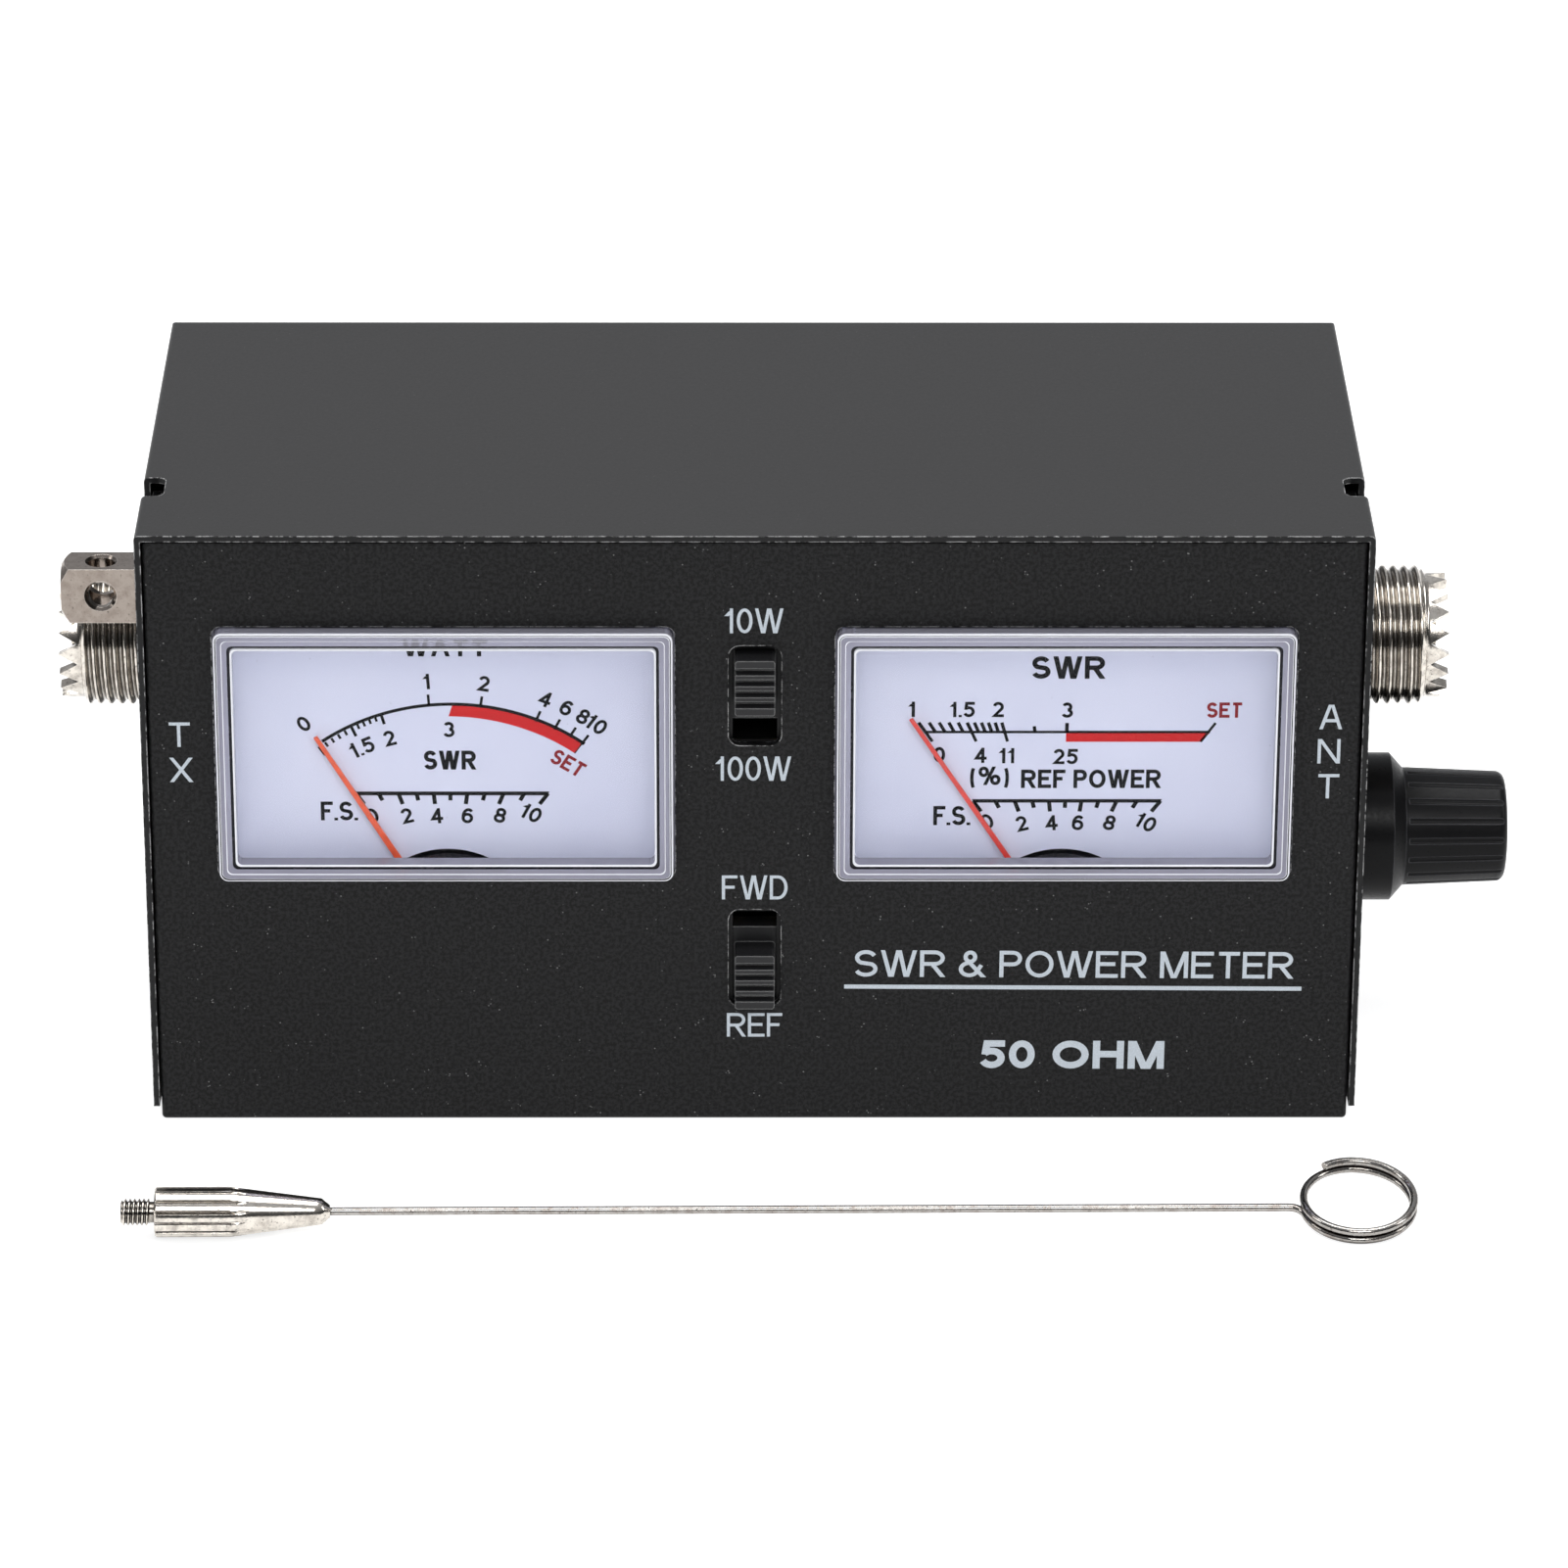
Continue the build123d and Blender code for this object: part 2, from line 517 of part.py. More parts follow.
def make_pointer(side, x):
    """The arm, stepped back to a balance cross with three weights, and its front pivot."""
    length = POINTER_LENGTH[side]
    root = POINTER_ROOT_HALF[side]
    tip = POINTER_TIP_HALF
    arm_y = (POINTER_Y, POINTER_Y + POINTER_T)
    arm = Polygon((-root, POINTER_STEP[0]), (root, POINTER_STEP[0]), (tip, length), (-tip, length),
                  align=None)
    pointer = front_prism(arm, arm_y)
    pointer += block((-root, root), (arm_y[0], CROSS_Y[1]), POINTER_STEP)
    pointer += block((-root, root), CROSS_Y, (-CROSS_DOWN, POINTER_STEP[1]))
    pointer += block((-CROSS_SIDE, CROSS_SIDE), CROSS_Y, (-CROSS_HALF, CROSS_HALF))
    pointer += rod("Y", CROSS_HUB_R, CROSS_Y, (0, 0))
    weight_y = (CROSS_Y[0] - WEIGHT_PROUD, CROSS_Y[1])
    pointer += rod("Y", WEIGHT_R[0], weight_y, (0, -CROSS_DOWN))
    for sign in (-1, 1):
        pointer += rod("Y", WEIGHT_R[1], weight_y, (sign * CROSS_SIDE, 0))
    pointer += rod("Y", PIVOT_R, (PIVOT_Y[0], COIL_Y[0]), (0, 0))
    return to_rest(pointer, side, x)


def make_moving_coil(side, x):
    """The wound frame that swings round the core, with its rear pivot."""
    inner, outer = COIL_R
    coil = block((-outer, outer), COIL_Y, (-COIL_HALF, COIL_HALF))
    coil -= block((-inner, inner), around(COIL_Y, COIL_T), (-COIL_HALF - 1, COIL_HALF + 1))
    coil += rod("Y", PIVOT_R, (COIL_Y[1] - 0.3, PIVOT_Y[1]), (0, 0))
    return to_rest(coil, side, x)


def make_meter_screws():
    screws = []
    for x in (-METER_X, METER_X):
        for sign in (-1, 1):
            dial = (x + sign * DIAL_SCREW[0], DIAL_SCREW[1])
            screws.append(pan_screw("Y", DIAL_Y, DIAL_SCREW_REACH, dial, M2_R, M2_HEAD_R, M2_HEAD_H))
            ear = (x + sign * MOVEMENT_SCREW_X, PIVOT_Z)
            screws.append(pan_screw("Y", EAR_Y[0], EAR_SCREW, ear, M2_R, M2_HEAD_R, M2_HEAD_H))
    return Compound(children=screws)


def make_meter_terminals():
    """Studs through the back of each meter, with the nuts that hold the board."""
    pieces = []
    floor_y = METER_BACK_Y - METER_WALL
    nut_y = (BOARD_BACK_Y, BOARD_BACK_Y + TERMINAL_NUT_T)
    for x in (-METER_X, METER_X):
        for sign in (-1, 1):
            at = (x + sign * TERMINAL[0], TERMINAL[1])
            stud = rod("Y", M3_R, (floor_y - 0.2, nut_y[1] + 0.6), at)
            stud += rod("Y", M3_HEAD_R, (floor_y - TERMINAL_HEAD_T, floor_y), at)
            nut = front_prism(Pos(*at) * RegularPolygon(M3_NUT_AF / 2, 6, major_radius=False), nut_y)
            nut -= rod("Y", M3_R, (nut_y[0] - 1, nut_y[1] + 1), at)
            pieces += [stud, nut]
    return Compound(children=pieces)


# ---- board and switches ----------------------------------------------------------
def switch_pin_places(name):
    return [(side * SWITCH_PIN_X, SWITCH_Z[name] + row * SWITCH_PIN_STEP)
            for side in (-1, 1) for row in (-1, 0, 1)]


def make_meter_board():
    board = block((-BOARD_X, BOARD_X), (METER_BACK_Y, BOARD_BACK_Y), BOARD_Z)
    y = (METER_BACK_Y - 1, BOARD_BACK_Y + 1)
    for x in (-METER_X, METER_X):
        for z in SPACER_Z:
            board -= rod("Y", M3_FREE_R, y, (x, z))
        for sign in (-1, 1):
            board -= rod("Y", M3_FREE_R, y, (x + sign * TERMINAL[0], TERMINAL[1]))
    for name in SWITCH_Z:
        for place in switch_pin_places(name):
            board -= rod("Y", SWITCH_PIN_R + 0.1, y, place)
    return board


def make_board_spacers():
    spacers = []
    y = (FRONT_Y + CHASSIS_T, METER_BACK_Y)
    for x in (-METER_X, METER_X):
        for z in SPACER_Z:
            hexagon = Pos(x, z) * RegularPolygon(SPACER_AF / 2, 6, major_radius=False)
            spacer = front_prism(hexagon, y)
            spacer -= rod("Y", M3_R, (y[0] - 1, y[0] + STUD_LENGTH + 0.5), (x, z))
            spacer -= rod("Y", M3_R, (y[1] - BOARD_SCREW + BOARD_T - 0.6, y[1] + 1), (x, z))
            spacers.append(spacer)
    return Compound(children=spacers)


def make_board_screws():
    places = [(x, z) for x in (-METER_X, METER_X) for z in SPACER_Z]
    return Compound(children=[pan_screw("Y", BOARD_BACK_Y, -BOARD_SCREW, at) for at in places])


def make_switch_frame(name):
    """The folded metal shell: closed at the sides, and open at both ends behind its bends."""
    z = SWITCH_Z[name]
    half_w, half_h = SWITCH_FRAME_HALF
    front, back = SWITCH_FRAME_Y
    in_w, in_h = half_w - SWITCH_FRAME_T, half_h - SWITCH_FRAME_T
    window_w, window_h = SWITCH_WINDOW_HALF
    frame = block((-half_w, half_w), SWITCH_FRAME_Y, (z - half_h, z + half_h))
    frame -= block((-in_w, in_w), (front + SWITCH_FRAME_T, back + 1), (z - in_h, z + in_h))
    for end in ((z - half_h - 1, z - in_h), (z + in_h, z + half_h + 1)):
        frame -= block((-half_w - 1, half_w + 1), (front + 3.0, back + 1), end)
    frame -= block((-window_w, window_w), (front - 1, front + 1), (z - window_h, z + window_h))
    return frame


def make_switch_base(name):
    z = SWITCH_Z[name]
    half_w, half_h = SWITCH_BASE_HALF
    base = block((-half_w, half_w), SWITCH_BASE_Y, (z - half_h, z + half_h))
    for place in switch_pin_places(name):
        base -= rod("Y", SWITCH_PIN_R, (SWITCH_BASE_Y[0] - 1, SWITCH_BASE_Y[1] + 1), place)
    return base


def make_switch_pins():
    pins = []
    for name in SWITCH_Z:
        for place in switch_pin_places(name):
            pin = rod("Y", SWITCH_PIN_R, (SWITCH_BASE_Y[0] - 0.2, BOARD_BACK_Y + 1.2), place)
            pin += rod("Y", SWITCH_PIN_HEAD_R, (SWITCH_PIN_FRONT, SWITCH_BASE_Y[0]), place)
            pins.append(pin)
    return Compound(children=pins)


def switch_rest_z(name):
    return SWITCH_Z[name] + REST_SIGN[name] * SWITCH_TRAVEL / 2


def make_switch_knob(name):
    z = switch_rest_z(name)
    half_w = SWITCH_CAP[0] / 2
    half_h = SWITCH_CAP[1] / 2
    front = FRONT_Y - SWITCH_PROUD
    cap = block((-half_w, half_w), (front, FRONT_Y + 2.2), (z - half_h, z + half_h))
    cap = fillet(cap.edges().filter_by(Axis.Y), 0.3)
    wide, tall = [size / 2 for size in SWITCH_CARRIAGE]
    knob = cap + block((-wide, wide), SWITCH_CARRIAGE_Y, (z - tall, z + tall))
    pitch = SWITCH_CAP[1] / SWITCH_RIDGES
    for gap in range(1, SWITCH_RIDGES):
        groove_z = z - half_h + gap * pitch
        groove = Polygon((front - 0.4, groove_z - 0.55), (front + 0.75, groove_z - 0.12),
                         (front + 0.75, groove_z + 0.12), (front - 0.4, groove_z + 0.55), align=None)
        knob -= side_prism(groove, (-half_w - 1, half_w + 1))
    return knob


def make_switch_contacts(name):
    """The two sprung bridges that the knob carries over the fixed contacts."""
    z = switch_rest_z(name)
    half = BRIDGE_CONTACT_HALF
    front = SWITCH_CARRIAGE_Y[1]
    back = front + BRIDGE_CONTACT_T
    contacts = []
    for sign in (-1, 1):
        x = sorted(sign * edge for edge in BRIDGE_CONTACT_X)
        bridge = block(x, (front, back), (z - half, z + half))
        for end in (-1, 1):
            foot_z = sorted((z + end * (half - BRIDGE_FOOT), z + end * half))
            bridge += block(x, (back, BRIDGE_FOOT_END), foot_z)
        contacts.append(bridge)
    return Compound(children=contacts)


# ---- sockets and coupler ---------------------------------------------------------
def make_socket_shell(side):
    half = SOCKET_FLANGE / 2
    flange = block(FLANGE_X, (-half, half), (SOCKET_Z - half, SOCKET_Z + half))
    flange = fillet(flange.edges().filter_by(Axis.X), 1.5)
    root = FLANGE_X[1]
    profile = (
        (FLANGE_X[0] - 3.0, BOSS_R), (FLANGE_X[0] + 0.5, BOSS_R), (FLANGE_X[0] + 0.5, THREAD_R - 0.35),
        (root + 0.8, THREAD_R - 0.35), (root + 0.8, THREAD_R), (SOCKET_END, THREAD_R),
        (SOCKET_END, CROWN_R), (SOCKET_TIP, CROWN_R),
    )
    shell = flange + Pos(0, 0, SOCKET_Z) * lathe(profile)
    inner, floor, _ = INSULATOR_X
    shell -= rod("X", SOCKET_BORE_R, (floor, SOCKET_TIP + 1), (0, SOCKET_Z))
    shell -= rod("X", INSULATOR_R + 0.02, (inner - 1, floor + 1), (0, SOCKET_Z))
    root_half = TOOTH_ROOT_HALF
    tip_half = math.pi * CROWN_R / CROWN_TEETH - TOOTH_TIP_HALF
    beyond = SOCKET_TIP + 0.1
    gap = Polygon((-root_half, CROWN_BASE), (root_half, CROWN_BASE), (tip_half, beyond),
                  (-tip_half, beyond), align=None)
    plane = Plane(origin=(0, 0, SOCKET_Z), x_dir=(0, 1, 0), z_dir=(0, 0, 1))
    cutter = extrude(plane.offset(SOCKET_BORE_R - 1) * (Rot(0, 0, 180) * gap), amount=CROWN_R)
    for tooth in range(CROWN_TEETH):
        angle = 360 * (tooth + 0.5) / CROWN_TEETH + CROWN_TURN
        shell -= cutter.rotate(Axis((0, 0, SOCKET_Z), (1, 0, 0)), angle)
    for place in rivet_places():
        shell -= rod("X", M3_R, (FLANGE_X[0] - 1, FLANGE_X[1] + 1), place)
    return for_side(shell, side)


def rivet_places():
    return [(sy * RIVET_AT, SOCKET_Z + sz * RIVET_AT) for sy in (-1, 1) for sz in (-1, 1)]


def make_socket_insulator(side):
    inner, floor, outer = INSULATOR_X
    core = rod("X", INSULATOR_R, (inner, floor), (0, SOCKET_Z))
    core += rod("X", SOCKET_BORE_R - 0.05, (floor, outer), (0, SOCKET_Z))
    core -= rod("X", CONTACT_R + 0.05, (inner - 1, outer + 1), (0, SOCKET_Z))
    return for_side(core, side)


def make_socket_contact(side):
    inner, _, outer = INSULATOR_X
    cup_r, socket_r = CONTACT_ENDS_R
    profile = ((CONTACT_CUP_X, cup_r), (inner, cup_r), (inner, CONTACT_R), (outer, CONTACT_R),
               (outer, socket_r), (CONTACT_TIP, socket_r))
    contact = Pos(0, 0, SOCKET_Z) * lathe(profile)
    contact -= rod("X", CONTACT_BORE_R, (outer + 0.7, CONTACT_TIP + 1), (0, SOCKET_Z))
    contact -= rod("X", LINE_R + 0.02, (CONTACT_CUP_X - 1, LINE_HALF), (0, SOCKET_Z))
    slot_x = (CONTACT_SLOT_X, CONTACT_TIP + 1)
    thin = (-CONTACT_SLOT_HALF, CONTACT_SLOT_HALF)
    long = (-socket_r - 1, socket_r + 1)
    contact -= block(slot_x, long, (SOCKET_Z + thin[0], SOCKET_Z + thin[1]))
    contact -= block(slot_x, thin, (SOCKET_Z + long[0], SOCKET_Z + long[1]))
    return for_side(contact, side)


def make_socket_rivets():
    rivets = []
    for side in ("left", "right"):
        for place in rivet_places():
            rivet = rod("X", M3_R, (FLANGE_X[0] - TROUGH_T - 0.5, FLANGE_X[1] - 0.1), place)
            rivet += rod("X", M3_HEAD_R, (FLANGE_X[0] - TROUGH_T - 1.2, FLANGE_X[0] - TROUGH_T), place)
            rivets.append(for_side(rivet, side))
    return Compound(children=rivets)


def make_coupler_trough():
    """The open screening channel whose ends carry both sockets."""
    end_x = (FLANGE_X[0] - TROUGH_T, FLANGE_X[0])
    half = SOCKET_FLANGE / 2
    wide = (-TROUGH_Y, TROUGH_Y)
    channel = block((-TROUGH_WALL_X, TROUGH_WALL_X), wide, TROUGH_Z)
    channel -= block((-70, 70), around(wide, TROUGH_T), (TROUGH_Z[0] + TROUGH_T, 70))
    channel += block((-end_x[0], end_x[0]), wide, (TROUGH_Z[0], TROUGH_Z[0] + TROUGH_T))
    for sign in (-1, 1):
        x = sorted((sign * end_x[0], sign * end_x[1]))
        channel += block(x, (-half, half), (SOCKET_Z - half, SOCKET_Z + half))
        tab_x = (sign * BACK_SCREW_X - TROUGH_TAB_HALF, sign * BACK_SCREW_X + TROUGH_TAB_HALF)
        inner_back = CHASSIS_BACK - CHASSIS_T
        channel += block(tab_x, (TROUGH_Y - 1, inner_back), (TROUGH_Z[0], TROUGH_Z[0] + TROUGH_T))
        channel += block(tab_x, (inner_back - TROUGH_T, inner_back), (TROUGH_TAB_Z, TROUGH_Z[0] + 0.5))
        channel -= rod("Y", M3_R, (20, BACK_Y), (sign * BACK_SCREW_X, BACK_SCREW_Z))
        through = (x[0] - 1, x[1] + 1)
        channel -= rod("X", BOSS_R + 0.3, through, (0, SOCKET_Z))
        for place in rivet_places():
            channel -= rod("X", M3_R, through, place)
    for x in (-COUPLER_POST_X, COUPLER_POST_X):
        channel += rod("Z", COUPLER_POST_R, (TROUGH_Z[0] + 0.5, COUPLER_BOARD_Z[0]), (x, 0))
    return channel


def make_through_line():
    return rod("X", LINE_R, (-LINE_HALF, LINE_HALF), (0, SOCKET_Z))


def make_coupler_board():
    long, wide = COUPLER_BOARD
    low, high = COUPLER_BOARD_Z
    board = block((-long, long), (-wide, wide), COUPLER_BOARD_Z)
    for x, y, _, length in axial_parts():
        for sign in (-1, 1):
            lead_x = x + sign * (length / 2 + LEAD_REACH)
            board -= rod("Z", LEAD_R + 0.05, (low - 1, high + 1), (lead_x, y))
    return board


def axial_parts():
    """Resistors at the back and diodes at the front of the board: x, y, radius, length."""
    resistors = [(x, 3.4, 1.2, 6.2) for x in (-36.0, -12.0, 12.0, 36.0)]
    diodes = [(x, -3.4, 0.9, 3.6) for x in (-30.0, 0.0, 30.0)]
    return resistors + diodes


def make_coupler_components():
    pieces = []
    for x, y, radius, length in axial_parts():
        lead = length / 2 + LEAD_REACH
        end = lead + LEAD_R
        piece = rod("X", radius, (x - length / 2, x + length / 2), (y, PART_HEIGHT))
        piece += rod("X", LEAD_R, (x - end, x + end), (y, PART_HEIGHT))
        for sign in (-1, 1):
            piece += rod("Z", LEAD_R, (LEAD_END_Z, PART_HEIGHT), (x + sign * lead, y))
        pieces.append(piece)
    return Compound(children=pieces)


# ---- set control -----------------------------------------------------------------
def make_pot_body():
    end = COVER_IN_X
    profile = ((POT_BACK_X, POT_R), (end, POT_R), (end, BUSHING_R), (BUSHING_END, BUSHING_R))
    body = Pos(0, 0, POT_Z) * lathe(profile)
    body -= rod("X", POT_R - POT_WALL, (POT_BACK_X + POT_WALL, end - POT_FRONT_T), (0, POT_Z))
    body -= rod("X", SHAFT_R + RUNNING_GAP, (60, BUSHING_END + 1), (0, POT_Z))
    tab_half = TRACK_TAB[0] + 0.2
    body -= block((TRACK_X[0] - 0.1, TRACK_X[1] + 0.1), (-tab_half, tab_half), (POT_Z - 9, POT_Z - 4.5))
    return body


def make_pot_nut():
    """The nut and its washer, under the knob's skirt."""
    face = CASE_W / 2
    hexagon = RegularPolygon(POT_NUT_AF / 2, 6, major_radius=False)
    nut = side_prism(Pos(0, POT_Z) * hexagon, POT_NUT_X)
    nut -= rod("X", BUSHING_R, (face, face + 4), (0, POT_Z))
    washer = rod("X", POT_WASHER_R, (face, POT_NUT_X[0]), (0, POT_Z))
    washer -= rod("X", BUSHING_R, (face - 1, face + 1), (0, POT_Z))
    return Compound(children=[nut, washer])


def make_pot_shaft():
    return rod("X", SHAFT_R, SHAFT_X, (0, POT_Z))


def make_pot_wiper():
    brush, front, back = WIPER_X
    disc = rod("X", WIPER_R, (front, back), (0, POT_Z))
    disc -= rod("X", SHAFT_R, (front - 1, back + 1), (0, POT_Z))
    disc += block((brush, front + 0.1), (-0.8, 0.8), (POT_Z + WIPER_BRUSH[0], POT_Z + WIPER_BRUSH[1]))
    return disc


def make_pot_track():
    """The resistance track's wafer, with a tab that carries the lugs."""
    half, low = TRACK_TAB
    wafer = rod("X", TRACK_R, TRACK_X, (0, POT_Z))
    wafer += block(TRACK_X, (-half, half), (low, POT_Z))
    return wafer


def make_pot_lugs():
    lugs = []
    face = TRACK_X[1]
    hole_r, hole_z = LUG_HOLE
    for y in LUG_Y:
        lug = block((face, face + LUG_T), (y - LUG_HALF, y + LUG_HALF), LUG_Z)
        lugs.append(lug - rod("X", hole_r, (face - 1, face + 1), (y, hole_z)))
    return Compound(children=lugs)


def make_set_knob():
    start_r, end_r = KNOB_GRIP_R
    body = lathe(((KNOB_BASE, KNOB_SKIRT_R), (KNOB_SKIRT_END, KNOB_SKIRT_R), (KNOB_GRIP_START, start_r),
                  (KNOB_END, end_r)))
    tip = body.edges().filter_by(GeomType.CIRCLE).sort_by(Axis.X)[-1]
    body = fillet(tip, KNOB_TIP_ROUND)
    slope = math.degrees(math.atan2(start_r - end_r, KNOB_END - KNOB_GRIP_START))
    reach = KNOB_END - KNOB_GRIP_START + 2
    groove = Pos(reach / 2, 0, KNOB_FLUTE_OUT) * Rot(0, 90, 0) * Cylinder(KNOB_FLUTE_R, reach)
    groove = Rot(0, slope, 0) * groove
    groove = Pos(KNOB_GRIP_START + 0.4, 0, start_r) * groove
    for flute in range(KNOB_FLUTES):
        body -= groove.rotate(Axis.X, 360 * flute / KNOB_FLUTES)
    knob = Pos(0, 0, POT_Z) * body
    knob -= rod("X", KNOB_HOLLOW[0], (KNOB_BASE - 1, KNOB_HOLLOW[1]), (0, POT_Z))
    knob -= rod("X", SHAFT_R, (KNOB_BASE, SHAFT_X[1] + 0.2), (0, POT_Z))
    return knob


# ---- antenna block and whip ------------------------------------------------------
def make_antenna_block():
    wall = -CASE_W / 2
    middle = (sum(BLOCK_Y) / 2, sum(BLOCK_Z) / 2)
    bar = block((BLOCK_END, wall), BLOCK_Y, BLOCK_Z)
    nose_r, body_r = BLOCK_NOSE_R
    turned = lathe(((BLOCK_END, nose_r), (BLOCK_END + BLOCK_NOSE, body_r), (wall, body_r)))
    bar &= Pos(0, *middle) * turned
    hole = (BLOCK_HOLE_X, BLOCK_HOLE_Z)
    bar -= rod("Y", M3_R, (BLOCK_Y[0] - 1, BLOCK_Y[1] + 1), hole)
    bar -= rod("Z", M3_R, (BLOCK_Z[0] - 1, BLOCK_Z[1] + 1), (BLOCK_HOLE_X, middle[0]))
    sink = BLOCK_SINK
    for y, low, high in ((BLOCK_Y[0], M3_R + sink, M3_R), (BLOCK_Y[1] - sink, M3_R, M3_R + sink)):
        cone = Pos(hole[0], y + sink / 2, hole[1]) * Rot(-90, 0, 0) * Cone(low, high, sink)
        bar -= cone
    for z, low, high in ((BLOCK_Z[0], M3_R + sink, M3_R), (BLOCK_Z[1] - sink, M3_R, M3_R + sink)):
        bar -= Pos(BLOCK_HOLE_X, middle[0], z + sink / 2) * Cone(low, high, sink)
    bar -= rod("X", M3_TIGHT_R, (wall - BLOCK_SCREW[0], wall + 1), (middle[0], BLOCK_HOLE_Z))
    return bar


def make_antenna_block_screw():
    at = (sum(BLOCK_Y) / 2, BLOCK_HOLE_Z)
    return pan_screw("X", -CHASSIS_X + CHASSIS_T, -BLOCK_SCREW[1], at, head_h=1.8)


def lay_whip(shape):
    """Lays a shape drawn along +X from the stud's tip on the floor in front of the case."""
    rise = GRIP_R + math.tan(math.radians(WHIP_DIP)) * GRIP_END + 0.03
    return Pos(WHIP_START[0], WHIP_START[1], rise) * Rot(0, WHIP_DIP, WHIP_TURN) * shape


def make_whip_handle():
    profile = ((0.0, M3_R - 0.25), (0.25, M3_R), (STUD_END, M3_R), (STUD_END, GRIP_R - 0.2),
               (STUD_END + 0.2, GRIP_R), (GRIP_END, GRIP_R), (CONE_END - 0.9, CONE_TIP_R + 0.35),
               (CONE_END, CONE_TIP_R - 0.4))
    handle = lathe(profile)
    for groove in range(GRIP_GROOVES):
        cut = rod("X", GRIP_GROOVE_R, (STUD_END - 0.05, GRIP_END + 0.6), (GRIP_R + GRIP_GROOVE_OUT, 0))
        handle -= cut.rotate(Axis.X, 360 * groove / GRIP_GROOVES)
    handle -= rod("X", WIRE_R, (CONE_END - WIRE_SOCKET, CONE_END + 1), (0, 0))
    return lay_whip(handle)


def make_whip_wire():
    """The straight wire, a bend, and the ring of nearly two turns at its end."""
    spread = RING_R + BEND_RADIUS
    bend = math.degrees(math.acos((RING_OFFSET + BEND_RADIUS) / spread))
    start_angle = 270 - bend
    bend_x = RING_AT - spread * math.sin(math.radians(bend))
    start = CONE_END - WIRE_SOCKET
    straight = Line((start, 0, 0), (bend_x, 0, 0))
    turn = JernArc((bend_x, 0, 0), (1, 0), BEND_RADIUS, -bend)
    height = RING_PITCH * RING_TURNS
    ring_start = Pos(RING_AT, RING_OFFSET, 0) * Rot(0, 0, start_angle)
    ring = ring_start * Helix(RING_PITCH, height, RING_R)
    section = Plane(origin=(start, 0, 0), z_dir=(1, 0, 0)) * Circle(WIRE_R)
    wire = sweep(section, path=Wire([straight.edge(), turn.edge(), ring.edge()]))
    return lay_whip(Rot(RING_TILT, 0, 0) * wire)


# ---- all the parts ---------------------------------------------------------------
def make_parts():
    parts = {
        "cover": make_cover(),
        "chassis": make_chassis(),
        "case_screws": make_case_screws(),
        "meter_screws": make_meter_screws(),
        "meter_terminals": make_meter_terminals(),
        "meter_board": make_meter_board(),
        "board_spacers": make_board_spacers(),
        "board_screws": make_board_screws(),
        "switch_pins": make_switch_pins(),
        "socket_rivets": make_socket_rivets(),
        "coupler_trough": make_coupler_trough(),
        "through_line": make_through_line(),
        "coupler_board": make_coupler_board(),
        "coupler_components": make_coupler_components(),
        "pot_body": make_pot_body(),
        "pot_nut": make_pot_nut(),
        "pot_shaft": make_pot_shaft(),
        "pot_wiper": make_pot_wiper(),
        "pot_track": make_pot_track(),
        "pot_lugs": make_pot_lugs(),
        "set_knob": make_set_knob(),
        "antenna_block": make_antenna_block(),
        "antenna_block_screw": make_antenna_block_screw(),
        "whip_handle": make_whip_handle(),
        "whip_wire": make_whip_wire(),
    }
    for side, x in (("left", -METER_X), ("right", METER_X)):
        parts[f"{side}_meter_lens"] = make_lens(x)
        parts[f"{side}_meter_case"] = make_meter_case(x)
        parts[f"{side}_dial_plate"] = make_dial_plate(x)
        parts[f"{side}_pivot_bridges"] = make_pivot_bridges(x)
        parts[f"{side}_core_magnet"] = make_core_magnet(x)
        parts[f"{side}_yoke_ring"] = make_yoke_ring(x)
        parts[f"{side}_hairspring"] = make_hairspring(x)
        parts[f"{side}_pointer"] = make_pointer(side, x)
        parts[f"{side}_moving_coil"] = make_moving_coil(side, x)
    for name in SWITCH_Z:
        parts[f"{name}_switch_frame"] = make_switch_frame(name)
        parts[f"{name}_switch_base"] = make_switch_base(name)
        parts[f"{name}_switch_knob"] = make_switch_knob(name)
        parts[f"{name}_switch_contacts"] = make_switch_contacts(name)
    for socket, side in (("tx", "left"), ("ant", "right")):
        parts[f"{socket}_socket_shell"] = make_socket_shell(side)
        parts[f"{socket}_socket_insulator"] = make_socket_insulator(side)
        parts[f"{socket}_socket_contact"] = make_socket_contact(side)
    return parts


def main():
    os.makedirs("parts", exist_ok=True)
    for name, shape in make_parts().items():
        export_step(shape, f"parts/{name}.step")


main()
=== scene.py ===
import json
import math
import bpy
import bmesh
from mathutils import Matrix, Vector


